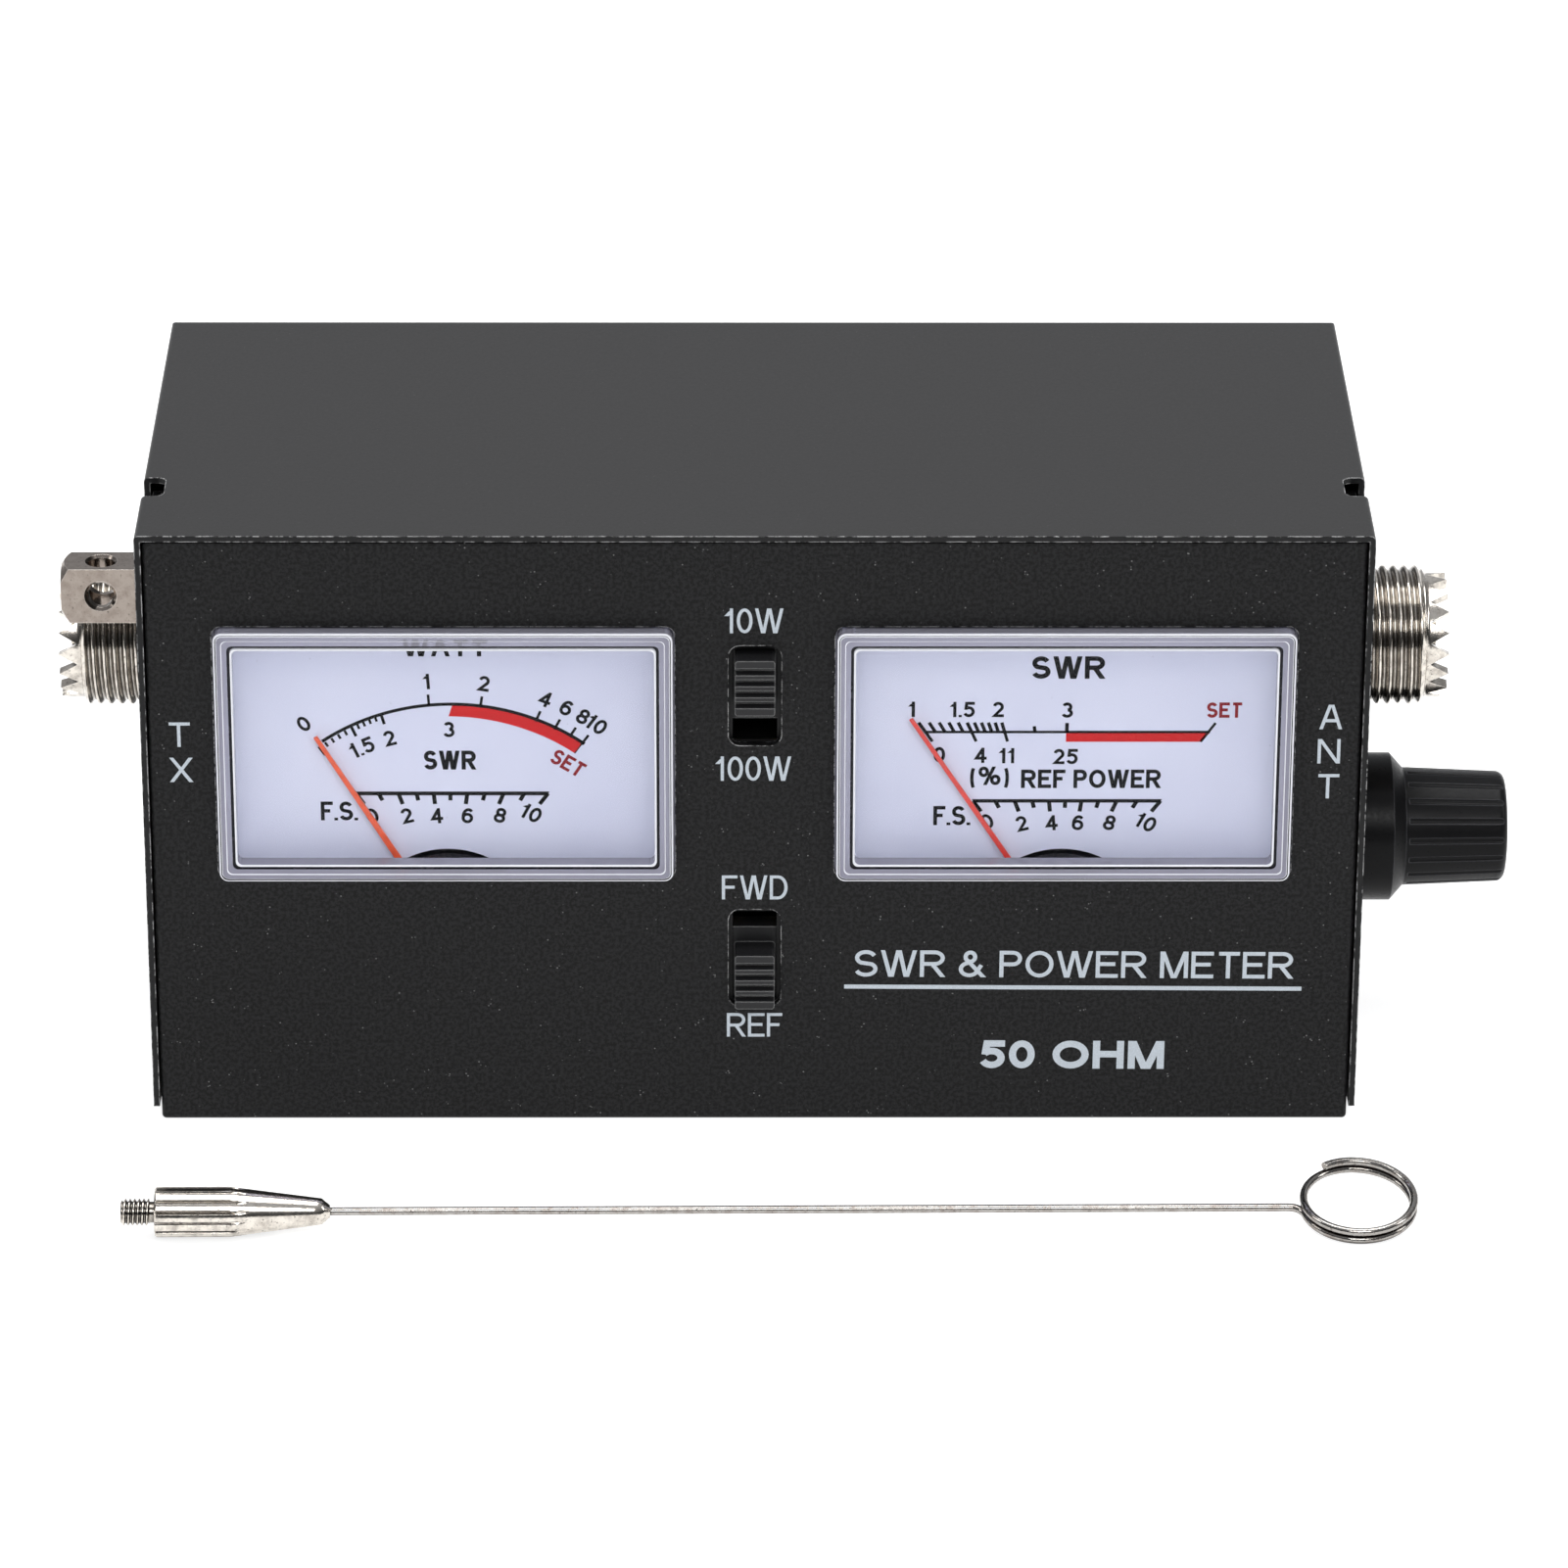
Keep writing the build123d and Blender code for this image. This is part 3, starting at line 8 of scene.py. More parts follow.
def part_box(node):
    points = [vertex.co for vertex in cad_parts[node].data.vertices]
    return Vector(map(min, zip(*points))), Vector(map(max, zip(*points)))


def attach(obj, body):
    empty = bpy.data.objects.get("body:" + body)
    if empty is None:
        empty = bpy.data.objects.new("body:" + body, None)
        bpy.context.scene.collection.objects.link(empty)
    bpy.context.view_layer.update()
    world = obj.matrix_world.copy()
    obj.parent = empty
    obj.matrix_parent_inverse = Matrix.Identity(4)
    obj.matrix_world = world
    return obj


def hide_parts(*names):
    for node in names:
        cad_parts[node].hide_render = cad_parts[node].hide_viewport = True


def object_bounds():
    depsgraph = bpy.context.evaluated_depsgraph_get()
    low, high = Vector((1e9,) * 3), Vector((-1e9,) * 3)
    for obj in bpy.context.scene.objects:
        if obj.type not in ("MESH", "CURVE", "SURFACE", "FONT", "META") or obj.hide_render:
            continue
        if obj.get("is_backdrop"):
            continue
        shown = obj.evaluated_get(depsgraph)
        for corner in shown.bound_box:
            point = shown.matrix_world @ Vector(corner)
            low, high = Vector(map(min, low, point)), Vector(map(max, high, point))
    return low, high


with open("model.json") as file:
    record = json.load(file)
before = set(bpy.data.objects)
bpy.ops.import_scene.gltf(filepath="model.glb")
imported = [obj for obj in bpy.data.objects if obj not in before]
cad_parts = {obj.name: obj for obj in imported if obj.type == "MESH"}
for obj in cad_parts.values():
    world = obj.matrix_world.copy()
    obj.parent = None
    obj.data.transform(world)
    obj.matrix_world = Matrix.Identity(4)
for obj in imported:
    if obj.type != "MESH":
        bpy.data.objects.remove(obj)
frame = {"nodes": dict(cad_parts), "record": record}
cad_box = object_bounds()

# The looks of a two-meter SWR and power meter and its whip antenna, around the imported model.
# Metres in the shared frame: +X to the right seen from the front, +Y to the back, +Z up.
MM = 0.001
NODES = frame["nodes"]
RECORD = frame["record"]
MOUNTS = {mount["name"]: mount for mount in RECORD["mounts"]}
SLOTS = {part["node"]: part["material_slot"] for part in RECORD["subparts"]}

PANEL_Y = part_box("chassis")[0].y            # face of the front panel
DIAL_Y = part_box("left_dial_plate")[0].y     # printed face of both dials


# ---- camera, stage and light -----------------------------------------------------
CAMERA_PLACE = Vector((-2.42, -787.65, 396.56)) * MM
CAMERA_PITCH = 25.142                       # degrees down
CAMERA_YAW = 0.427                          # degrees to the right
CAMERA_ROLL = 0.177
CAMERA_LENS = 173.93
CAMERA_SENSOR = 36                          # side of the square sensor, in millimetres

FLOOR_HALF = 3.0
FLOOR_TONE = (0.45, 0.45, 0.45)
FLOOR_GLOW = 0.8                            # a sweep lit from below, as under a product

ROOM_TINT = (0.94, 0.96, 1.0, 1.0)
ROOM_FRONT = 0.05                           # brightness of the room behind the camera
ROOM_BACK = 0.6
ROOM_TOP = 0.5
LIGHT_AIM = Vector((0, 0, 0.03))
SOFTBOXES = (                               # name, place, size and power in watts
    ("overhead", (0.0, 0.15, 1.1), (1.0, 0.7), 9.5),
    ("left", (-1.1, -0.1, 0.75), (0.35, 0.6), 2.5),
    ("right", (1.1, -0.2, 0.65), (0.3, 0.6), 2.5),
    ("front", (0.1, -1.3, 1.1), (0.9, 0.5), 9.0),
)


def make_camera():
    data = bpy.data.cameras.new("camera")
    data.sensor_width = CAMERA_SENSOR
    data.lens = CAMERA_LENS
    data.clip_start = 0.01
    camera = bpy.data.objects.new("camera", data)
    bpy.context.scene.collection.objects.link(camera)
    turn = Matrix.Rotation(math.radians(-CAMERA_YAW), 4, "Z")
    tilt = Matrix.Rotation(math.radians(90 - CAMERA_PITCH), 4, "X")
    roll = Matrix.Rotation(math.radians(CAMERA_ROLL), 4, "Z")
    camera.matrix_world = Matrix.Translation(CAMERA_PLACE) @ turn @ tilt @ roll
    bpy.context.scene.camera = camera


def make_floor():
    mesh = bpy.data.meshes.new("floor")
    signs = ((-1, -1), (1, -1), (1, 1), (-1, 1))
    corners = [(x * FLOOR_HALF, y * FLOOR_HALF, 0) for x, y in signs]
    mesh.from_pydata(corners, [], [(0, 1, 2, 3)])
    floor = bpy.data.objects.new("floor", mesh)
    bpy.context.scene.collection.objects.link(floor)
    paper = Shader("studio_floor", FLOOR_TONE, roughness=0.9, Emission_Strength=FLOOR_GLOW)
    paper.set("Emission Color", (1.0, 1.0, 1.0, 1.0))
    floor.data.materials.append(paper.material)
    floor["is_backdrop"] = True


def softbox(name, place, size, power):
    data = bpy.data.lights.new(name, "AREA")
    data.shape = "RECTANGLE"
    data.size, data.size_y = size
    data.energy = power
    light = bpy.data.objects.new(name, data)
    bpy.context.scene.collection.objects.link(light)
    light.location = place
    light.rotation_euler = (LIGHT_AIM - Vector(place)).to_track_quat("-Z", "Y").to_euler()


def make_light():
    """A room that is dark in front and paler at the back and above, with four soft lights."""
    world = bpy.data.worlds.new("studio")
    world.use_nodes = True
    tree = world.node_tree
    background = tree.nodes["Background"]
    background.inputs["Color"].default_value = ROOM_TINT
    direction = tree.nodes.new("ShaderNodeSeparateXYZ")
    tree.links.new(tree.nodes.new("ShaderNodeTexCoord").outputs["Generated"], direction.inputs[0])

    def fade(value, low, high, out_low, out_high):
        node = tree.nodes.new("ShaderNodeMapRange")
        tree.links.new(value, node.inputs["Value"])
        node.inputs["From Min"].default_value = low
        node.inputs["From Max"].default_value = high
        for socket, level in (("To Min", out_low), ("To Max", out_high)):
            if isinstance(level, float):
                node.inputs[socket].default_value = level
            else:
                tree.links.new(level, node.inputs[socket])
        return node.outputs[0]

    walls = fade(direction.outputs["Y"], 0.3, 0.9, ROOM_FRONT, ROOM_BACK)
    sky = fade(direction.outputs["Z"], 0.25, 0.85, walls, ROOM_TOP)
    tree.links.new(sky, background.inputs["Strength"])
    bpy.context.scene.world = world
    bpy.context.scene.view_settings.view_transform = "Standard"
    for name, place, size, power in SOFTBOXES:
        softbox(name, place, size, power)


# ---- material toolkit ------------------------------------------------------------
class Shader:
    """A Principled material with short ways to add the patterns that finishes share."""

    def __init__(self, name, color, metallic=0.0, roughness=0.5, **sockets):
        self.material = bpy.data.materials.new(name)
        self.material.use_nodes = True
        self.tree = self.material.node_tree
        self.surface = self.tree.nodes["Principled BSDF"]
        self.output = self.tree.nodes["Material Output"]
        self.set("Base Color", (*color, 1.0))
        self.set("Metallic", metallic)
        self.set("Roughness", roughness)
        for socket, value in sockets.items():
            self.set(socket.replace("_", " "), value)

    def set(self, socket, value):
        if isinstance(value, bpy.types.NodeSocket):
            self.tree.links.new(value, self.surface.inputs[socket])
        else:
            self.surface.inputs[socket].default_value = value

    def add(self, kind, inputs=(), **settings):
        """A node with its settings and with its inputs linked or set, by name or number."""
        node = self.tree.nodes.new("ShaderNode" + kind)
        for key, value in settings.items():
            setattr(node, key, value)
        for key, value in dict(inputs).items():
            if isinstance(value, bpy.types.NodeSocket):
                self.tree.links.new(value, node.inputs[key])
            else:
                node.inputs[key].default_value = value
        return node

    def place(self, stretch=(1, 1, 1)):
        """Object coordinates, with a pattern drawn out along an axis by a stretch below 1."""
        coordinates = self.add("TexCoord").outputs["Object"]
        return self.add("Mapping", {"Vector": coordinates, "Scale": stretch}).outputs[0]

    def noise(self, size, detail=2.0, stretch=(1, 1, 1), roughness=0.5):
        """Cloudy noise whose features are about size metres across."""
        inputs = {"Vector": self.place(stretch), "Scale": 1 / size, "Detail": detail, "Roughness": roughness}
        return self.add("TexNoise", inputs).outputs["Fac"]

    def cells(self, size):
        """The distance to the nearest of points scattered about size metres apart."""
        return self.add("TexVoronoi", {"Vector": self.place(), "Scale": 1 / size}).outputs["Distance"]

    def fade(self, value, low, high, out=(0.0, 1.0)):
        """Maps value from low..high to the out range, and stops at its ends."""
        inputs = {"Value": value, "From Min": low, "From Max": high, "To Min": out[0], "To Max": out[1]}
        return self.add("MapRange", inputs, clamp=True).outputs[0]

    def math(self, operation, first, second=0.0):
        return self.add("Math", {0: first, 1: second}, operation=operation).outputs[0]

    def mix(self, share, first, second):
        """A colour between two colours, each a tuple or a socket."""
        node = self.add("Mix", {0: share}, data_type="RGBA")
        for number, value in ((6, first), (7, second)):
            if isinstance(value, bpy.types.NodeSocket):
                self.tree.links.new(value, node.inputs[number])
            else:
                node.inputs[number].default_value = (*value, 1.0)
        return node.outputs[2]

    def bump(self, height, depth, round_edges=0.0):
        """Relief depth metres high, over edges that are rounded by round_edges metres."""
        inputs = {"Height": height, "Distance": depth}
        if round_edges:
            inputs["Normal"] = self.add("Bevel", {"Radius": round_edges}, samples=4).outputs[0]
        self.set("Normal", self.add("Bump", inputs).outputs[0])


def worn_edges(shader, width):
    """From 0 on flat faces to 1 along sharp edges."""
    rounded = shader.add("Bevel", {"Radius": width}, samples=4).outputs[0]
    flat = shader.add("NewGeometry").outputs["Normal"]
    alike = shader.add("VectorMath", {0: rounded, 1: flat}, operation="DOT_PRODUCT").outputs["Value"]
    return shader.fade(alike, 0.995, 0.9)


def hollows(shader, reach):
    """Painted shade: from 0 in the open to 1 deep in grooves and corners that are about reach wide, by
    ambient occlusion.
    """
    open_share = shader.add("AmbientOcclusion", {"Distance": reach}, samples=6).outputs["AO"]
    return shader.fade(open_share, 0.88, 0.55)


# ---- finishes --------------------------------------------------------------------
def powder_coat(name, color, front_shade_color, grain, grain_tone, depth, speck_share, roughness, gloss):
    """Baked powder paint: fine grain, sparse pale specks, and edges worn through to the metal.
    With a front shade colour, faces to the front take it: painted shade on the cover's forward faces, where
    its sheet is cut."""
    shader = Shader(name, color, roughness=roughness, Specular_IOR_Level=gloss)
    peel = shader.noise(grain, detail=3, roughness=0.65)
    darker = tuple((1 - grain_tone) * part for part in color)
    lighter = tuple((1 + grain_tone) * part for part in color)
    paint = shader.mix(shader.fade(peel, 0.43, 0.57), darker, lighter)
    specks = shader.fade(shader.cells(0.5 * MM), speck_share, speck_share * 0.5)
    chosen = shader.fade(shader.noise(1.3 * MM, detail=2), 0.6, 0.66)
    paint = shader.mix(shader.math("MULTIPLY", specks, chosen), paint, PALE_SPECK)
    # painted shade: forward-facing faces darkened, as less light falls on them
    if front_shade_color:
        facing = shader.add("SeparateXYZ", {0: shader.add("NewGeometry").outputs["Normal"]}).outputs["Y"]
        paint = shader.mix(shader.fade(facing, -0.6, -0.8), paint, front_shade_color)
    chips = shader.fade(shader.noise(0.9 * MM, detail=4, roughness=0.7), 0.45, 0.55)
    worn = shader.math("MULTIPLY", worn_edges(shader, 0.2 * MM), chips)
    shader.set("Base Color", shader.mix(worn, paint, EDGE_METAL))
    shader.set("Roughness", shader.fade(peel, 0.3, 0.7, (roughness - 0.06, roughness + 0.08)))
    shader.bump(peel, depth, round_edges=0.1 * MM)
    return shader.material


def plated(name, color, roughness, tarnish, dirt_and_shade):
    """Bright nickel over brass: fine machining marks, thin tarnish, specks of dirt, painted shade in the
    corners and a painted highlight along the edges.
    """
    shader = Shader(name, color, metallic=1.0, roughness=roughness)
    blotches = shader.fade(shader.noise(1.1 * MM, detail=4, roughness=0.6), 0.42, 0.66)
    metal = shader.mix(shader.math("MULTIPLY", blotches, 0.6), color, tarnish)
    pits = shader.fade(shader.noise(0.26 * MM, detail=3), 0.62, 0.7)
    metal = shader.mix(shader.math("MULTIPLY", pits, 0.75), metal, dirt_and_shade)
    # painted highlight: sharp edges and thread crests lightened, partly as plating rubbed bright
    edge_wear_and_highlight = shader.math("MULTIPLY", worn_edges(shader, 0.12 * MM), 0.6)
    metal = shader.mix(edge_wear_and_highlight, metal, RUBBED_AND_HIGHLIGHT)
    # painted shade: grooves and corners darkened by ambient occlusion, in the dark dirt colour
    shader.set("Base Color", shader.mix(hollows(shader, 0.8 * MM), metal, dirt_and_shade))
    shader.set("Roughness", shader.fade(blotches, 0.0, 1.0, (roughness * 0.7, roughness * 1.6)))
    shader.bump(shader.noise(0.2 * MM, detail=3), 0.008 * MM, round_edges=0.05 * MM)
    return shader.material


def sheet_metal(name, color, roughness, stretch=(1, 1, 1)):
    """Bare metal with a cloudy grain, which a stretch draws out into rolling marks."""
    shader = Shader(name, color, metallic=1.0, roughness=roughness)
    grain = shader.noise(0.6 * MM, detail=4, stretch=stretch)
    darker = tuple(0.7 * part for part in color)
    shader.set("Base Color", shader.mix(shader.fade(grain, 0.35, 0.7), color, darker))
    shader.set("Roughness", shader.fade(grain, 0.3, 0.7, (roughness - 0.08, roughness + 0.12)))
    shader.bump(grain, 0.01 * MM, round_edges=0.1 * MM)
    return shader.material


def moulded(name, color, roughness, edge_wear_and_highlight_color=None, **sockets):
    """Moulded plastic with a faint grain, and edges lightened by the given edge colour: partly polish from
    handling, partly a painted highlight.
    """
    shader = Shader(name, color, roughness=roughness, **sockets)
    texture = shader.noise(0.35 * MM, detail=3)
    cloud = shader.fade(shader.noise(6 * MM, detail=3), 0.3, 0.7)
    lighter = tuple(1.25 * part for part in color)
    body = shader.mix(cloud, color, lighter)
    if edge_wear_and_highlight_color:
        # painted highlight along the edges, with some polish from handling
        body = shader.mix(shader.math("MULTIPLY", worn_edges(shader, 0.2 * MM), 0.6), body, edge_wear_and_highlight_color)
    shader.set("Base Color", body)
    shader.set("Roughness", shader.fade(texture, 0.3, 0.7, (roughness - 0.07, roughness + 0.07)))
    shader.bump(texture, 0.006 * MM, round_edges=0.12 * MM)
    return shader.material


def clear_acrylic(name, color, transmission=1.0, roughness=0.03, gloss=0.3):
    """Clear plastic that lets lamps through, so that the dials behind it are lit."""
    shader = Shader(name, color, roughness=roughness, Transmission_Weight=transmission, IOR=1.49)
    shader.set("Specular Tint", (gloss, gloss, gloss, 1.0))
    scuffs = shader.fade(shader.noise(2.5 * MM, detail=5), 0.5, 0.8, (roughness * 0.5, roughness * 2.2))
    shader.set("Roughness", scuffs)
    shadow = shader.add("LightPath").outputs["Is Shadow Ray"]
    clear = shader.add("BsdfTransparent", {"Color": (0.93, 0.94, 0.97, 1)}).outputs[0]
    both = shader.add("MixShader", {0: shadow, 1: shader.surface.outputs[0], 2: clear}).outputs[0]
    shader.tree.links.new(both, shader.output.inputs["Surface"])
    return shader.material


def dial_paint():
    """Pale printed card: faint fibres, a few specks and a slow change of tone."""
    color = (0.74, 0.75, 0.87)
    shader = Shader("dial_white", color, roughness=0.62, Specular_IOR_Level=0.1)
    cloud = shader.fade(shader.noise(14 * MM, detail=2), 0.3, 0.7)
    paint = shader.mix(cloud, color, (0.70, 0.71, 0.84))
    specks = shader.fade(shader.cells(2.4 * MM), 0.035, 0.02)
    shader.set("Base Color", shader.mix(shader.math("MULTIPLY", specks, 0.6), paint, (0.3, 0.3, 0.36)))
    shader.bump(shader.noise(0.12 * MM), 0.003 * MM)
    return shader.material


def ink(name, color):
    """Screen-printed ink, a little uneven in tone."""
    shader = Shader(name, color, roughness=0.5, Specular_IOR_Level=0.1)
    cover = shader.noise(0.15 * MM, detail=2)
    lighter = tuple(min(1.0, part * 1.2 + 0.002) for part in color)
    shader.set("Base Color", shader.mix(shader.fade(cover, 0.45, 0.75), color, lighter))
    shader.bump(cover, 0.004 * MM)
    return shader.material


def lacquer(name, color):
    """The bright paint of the pointers, under a thin clear coat."""
    shader = Shader(name, color, roughness=0.32, Coat_Weight=0.3)
    cloud = shader.noise(1.2 * MM, detail=3)
    darker = tuple(0.82 * part for part in color)
    shader.set("Base Color", shader.mix(shader.fade(cloud, 0.35, 0.7), color, darker))
    shader.bump(shader.noise(0.3 * MM), 0.003 * MM, round_edges=0.05 * MM)
    return shader.material


def laminate(name, color, weave_color):
    """Board material: woven glass or paper showing faintly through its resin."""
    shader = Shader(name, color, roughness=0.4)
    weave = shader.noise(0.5 * MM, detail=1, stretch=(1, 1, 0.2))
    shader.set("Base Color", shader.mix(shader.fade(weave, 0.4, 0.7), color, weave_color))
    shader.bump(weave, 0.01 * MM, round_edges=0.1 * MM)
    return shader.material


NICKEL = (0.30, 0.26, 0.228)
TARNISH = (0.22, 0.18, 0.155)
# dark colour of dirt specks, also used for painted shade in hollows
DIRT_AND_SHADE = (0.045, 0.038, 0.032)
RUBBED_AND_HIGHLIGHT = (0.85, 0.81, 0.75)                 # plating that handling keeps bright, and a painted highlight on crests and edges
EDGE_METAL = (0.62, 0.62, 0.62)
PALE_SPECK = (0.2, 0.2, 0.2)


def make_finishes():
    """One material for each of the record's slots, and a brighter nickel for the turned pieces."""
    return {
        # the cover's second colour is painted shade on its forward faces
        "cover_paint": powder_coat("cover_paint", (0.028, 0.0275, 0.0275), (0.008, 0.008, 0.0085),
                                   0.4 * MM, 0.08, 0.006 * MM, 0.12, 0.4, 0.2),
        "panel_paint": powder_coat("panel_paint", (0.0085, 0.0085, 0.009), None,
                                   0.42 * MM, 0.7, 0.03 * MM, 0.2, 0.5, 0.17),
        "black_steel": moulded("black_steel", (0.008, 0.008, 0.0085), 0.4, Specular_IOR_Level=0.2),
        "steel": sheet_metal("steel", (0.62, 0.62, 0.62), 0.3),
        "zinc_steel": sheet_metal("zinc_steel", (0.66, 0.67, 0.69), 0.34, (0.15, 1, 1)),
        "brass": sheet_metal("brass", (0.72, 0.55, 0.28), 0.28),
        "copper": sheet_metal("copper", (0.76, 0.36, 0.2), 0.3, (1, 0.15, 1)),
        "soft_iron": sheet_metal("soft_iron", (0.3, 0.3, 0.31), 0.45),
        "magnet": moulded("magnet", (0.09, 0.09, 0.095), 0.5, Metallic=0.7),
        "nickel": plated("nickel", NICKEL, 0.17, TARNISH, DIRT_AND_SHADE),
        "bright_nickel": plated("bright_nickel", (0.72, 0.675, 0.61), 0.15, NICKEL, DIRT_AND_SHADE),
        "nickel_wire": plated("nickel_wire", (0.38, 0.365, 0.345), 0.14, TARNISH, DIRT_AND_SHADE),
        "contact_metal": plated("contact_metal", (0.78, 0.72, 0.6), 0.25, TARNISH, DIRT_AND_SHADE),
        "insulator_white": moulded("insulator_white", (0.74, 0.73, 0.69), 0.42),
        "phenolic": laminate("phenolic", (0.25, 0.12, 0.05), (0.32, 0.18, 0.08)),
        "circuit_board": laminate("circuit_board", (0.03, 0.12, 0.045), (0.06, 0.19, 0.07)),
        "component_body": moulded("component_body", (0.5, 0.36, 0.22), 0.4),
        "black_plastic": moulded("black_plastic", (0.008, 0.008, 0.0085), 0.45, Specular_IOR_Level=0.25),
        "switch_black": moulded("switch_black", (0.011, 0.011, 0.012), 0.42, edge_wear_and_highlight_color=(0.35, 0.35, 0.35),
                                Specular_IOR_Level=0.3),
        "knob_black": moulded("knob_black", (0.005, 0.005, 0.0055), 0.34, edge_wear_and_highlight_color=(0.1, 0.1, 0.11),
                              Specular_IOR_Level=0.11),
        "lens_clear": clear_acrylic("lens_clear", (0.97, 0.98, 1.0), gloss=0.12),
        "dial_white": dial_paint(),
        "pointer_orange": lacquer("pointer_orange", (0.86, 0.095, 0.02)),
        "pointer_red": lacquer("pointer_red", (0.78, 0.045, 0.028)),
    }


# ---- mesh helpers ----------------------------------------------------------------
def add_piece(name, mesh, body, material):
    """Puts a mesh in the scene as a piece that rides on a body."""
    piece = bpy.data.objects.new(name, mesh)
    bpy.context.scene.collection.objects.link(piece)
    piece.data.materials.append(material)
    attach(piece, body)
    return piece


def turned_mesh(name, rings, columns, place, joined=False):
    """A closed mesh from rings of points round an axis. place turns (along, radius, angle)
    into a point, and each ring is a function of the angle that gives (along, radius).
    The last ring is joined to the first, or both are capped."""
    points = []
    for ring in rings:
        for column in range(columns):
            angle = 2 * math.pi * column / columns
            along, radius = ring(angle)
            points.append(place(along, radius, angle))
    faces = []
    rows = len(rings)
    row_pairs = [(row, row + 1) for row in range(rows - 1)]
    if joined:
        row_pairs.append((rows - 1, 0))
    for row, after in row_pairs:
        for column in range(columns):
            beside = (column + 1) % columns
            faces.append((row * columns + column, row * columns + beside,
                          after * columns + beside, after * columns + column))
    if not joined:
        faces.append(tuple(range(columns))[::-1])
        faces.append(tuple((rows - 1) * columns + column for column in range(columns)))
    mesh = bpy.data.meshes.new(name)
    mesh.from_pydata(points, [], faces)
    bm = bmesh.new()
    bm.from_mesh(mesh)
    bmesh.ops.recalc_face_normals(bm, faces=bm.faces)
    bm.to_mesh(mesh)
    bm.free()
    mesh.shade_smooth()
    return mesh


def thread_depth(along, angle, pitch, crest):
    """From 0 on the crest of a thread to 1 at its root. crest is how far the flat crest reaches,
    over half the pitch."""
    turn = (along / pitch - angle / (2 * math.pi)) % 1.0
    from_crest = abs(turn - 0.5) * 2
    return min(1.0, max(0.0, (1 - from_crest - crest) / (1 - 2 * crest)))


def stations(low, high, step):
    """Places from low to high, about step apart."""
    count = max(1, round((high - low) / step))
    return [low + (high - low) * number / count for number in range(count + 1)]


# ---- socket barrels --------------------------------------------------------------
SOCKET_PITCH = 1.2 * MM
SOCKET_THREAD_DEPTH = 0.5 * MM
SOCKET_CREST = 0.2
SOCKET_BORE = 6.0 * MM
BORE_STEP = 70.2 * MM
BORE_FLOOR = 69.0 * MM
CORE_R = 5.2 * MM                           # the barrel is hollow below its bore
CROWN_R = 7.1 * MM
CROWN_TEETH = 18
CROWN_TURN = math.radians(5)                # first tooth, from the top towards the front
TOOTH_COLUMNS = 12
CROWN_LENGTH = 2.65 * MM
TOOTH_LENGTH = 2.15 * MM
TOOTH_SPREAD = 2.05                         # 2 would leave no gap between the teeth's roots
TOOTH_TIP = 0.97                            # the tips' height, short of the crown's full length
THREAD_CREST = {"tx": 71.2 * MM, "ant": 71.55 * MM}    # where a crest crosses the underside
BARREL_CHAMFER = 0.5 * MM
FLANGE_CUT = 66.85 * MM                     # the flange's outer face is at 66.8 mm


def barrel_rings(tip, thread_r, crest, side):
    """Rings from the flange along the thread, over the crown and back down the bore."""
    end = tip - CROWN_LENGTH

    def thread_ring(along):
        def ring(angle):
            limit = min(thread_r, thread_r - BARREL_CHAMFER + (end - along))
            from_crest = along - crest + SOCKET_PITCH / 2
            depth = thread_depth(from_crest, -side * (angle - math.pi), SOCKET_PITCH, SOCKET_CREST)
            return along, min(limit, thread_r - SOCKET_THREAD_DEPTH * depth)
        return ring

    def plain_ring(along, radius):
        return lambda angle: (along, radius)

    def tooth_ring(radius, share):
        """share is 0 at the teeth's roots and 1 at their tips."""
        def ring(angle):
            phase = ((angle + CROWN_TURN) * CROWN_TEETH / (2 * math.pi) + 0.5) % 1.0
            height = max(0.0, 1 - abs(phase - 0.5) * TOOTH_SPREAD)
            return tip - TOOTH_LENGTH * (1 - height * share), radius
        return ring

    rings = [plain_ring(FLANGE_CUT, CORE_R)]
    rings += [thread_ring(along) for along in stations(FLANGE_CUT, end, SOCKET_PITCH / 14)]
    rings += [plain_ring(end, CROWN_R), tooth_ring(CROWN_R, 0.0), tooth_ring(CROWN_R, TOOTH_TIP)]
    rings += [tooth_ring(SOCKET_BORE, TOOTH_TIP), tooth_ring(SOCKET_BORE, 0.0)]
    rings += [plain_ring(BORE_STEP, SOCKET_BORE), plain_ring(BORE_FLOOR, SOCKET_BORE)]
    rings += [plain_ring(BORE_FLOOR, CORE_R)]
    return rings


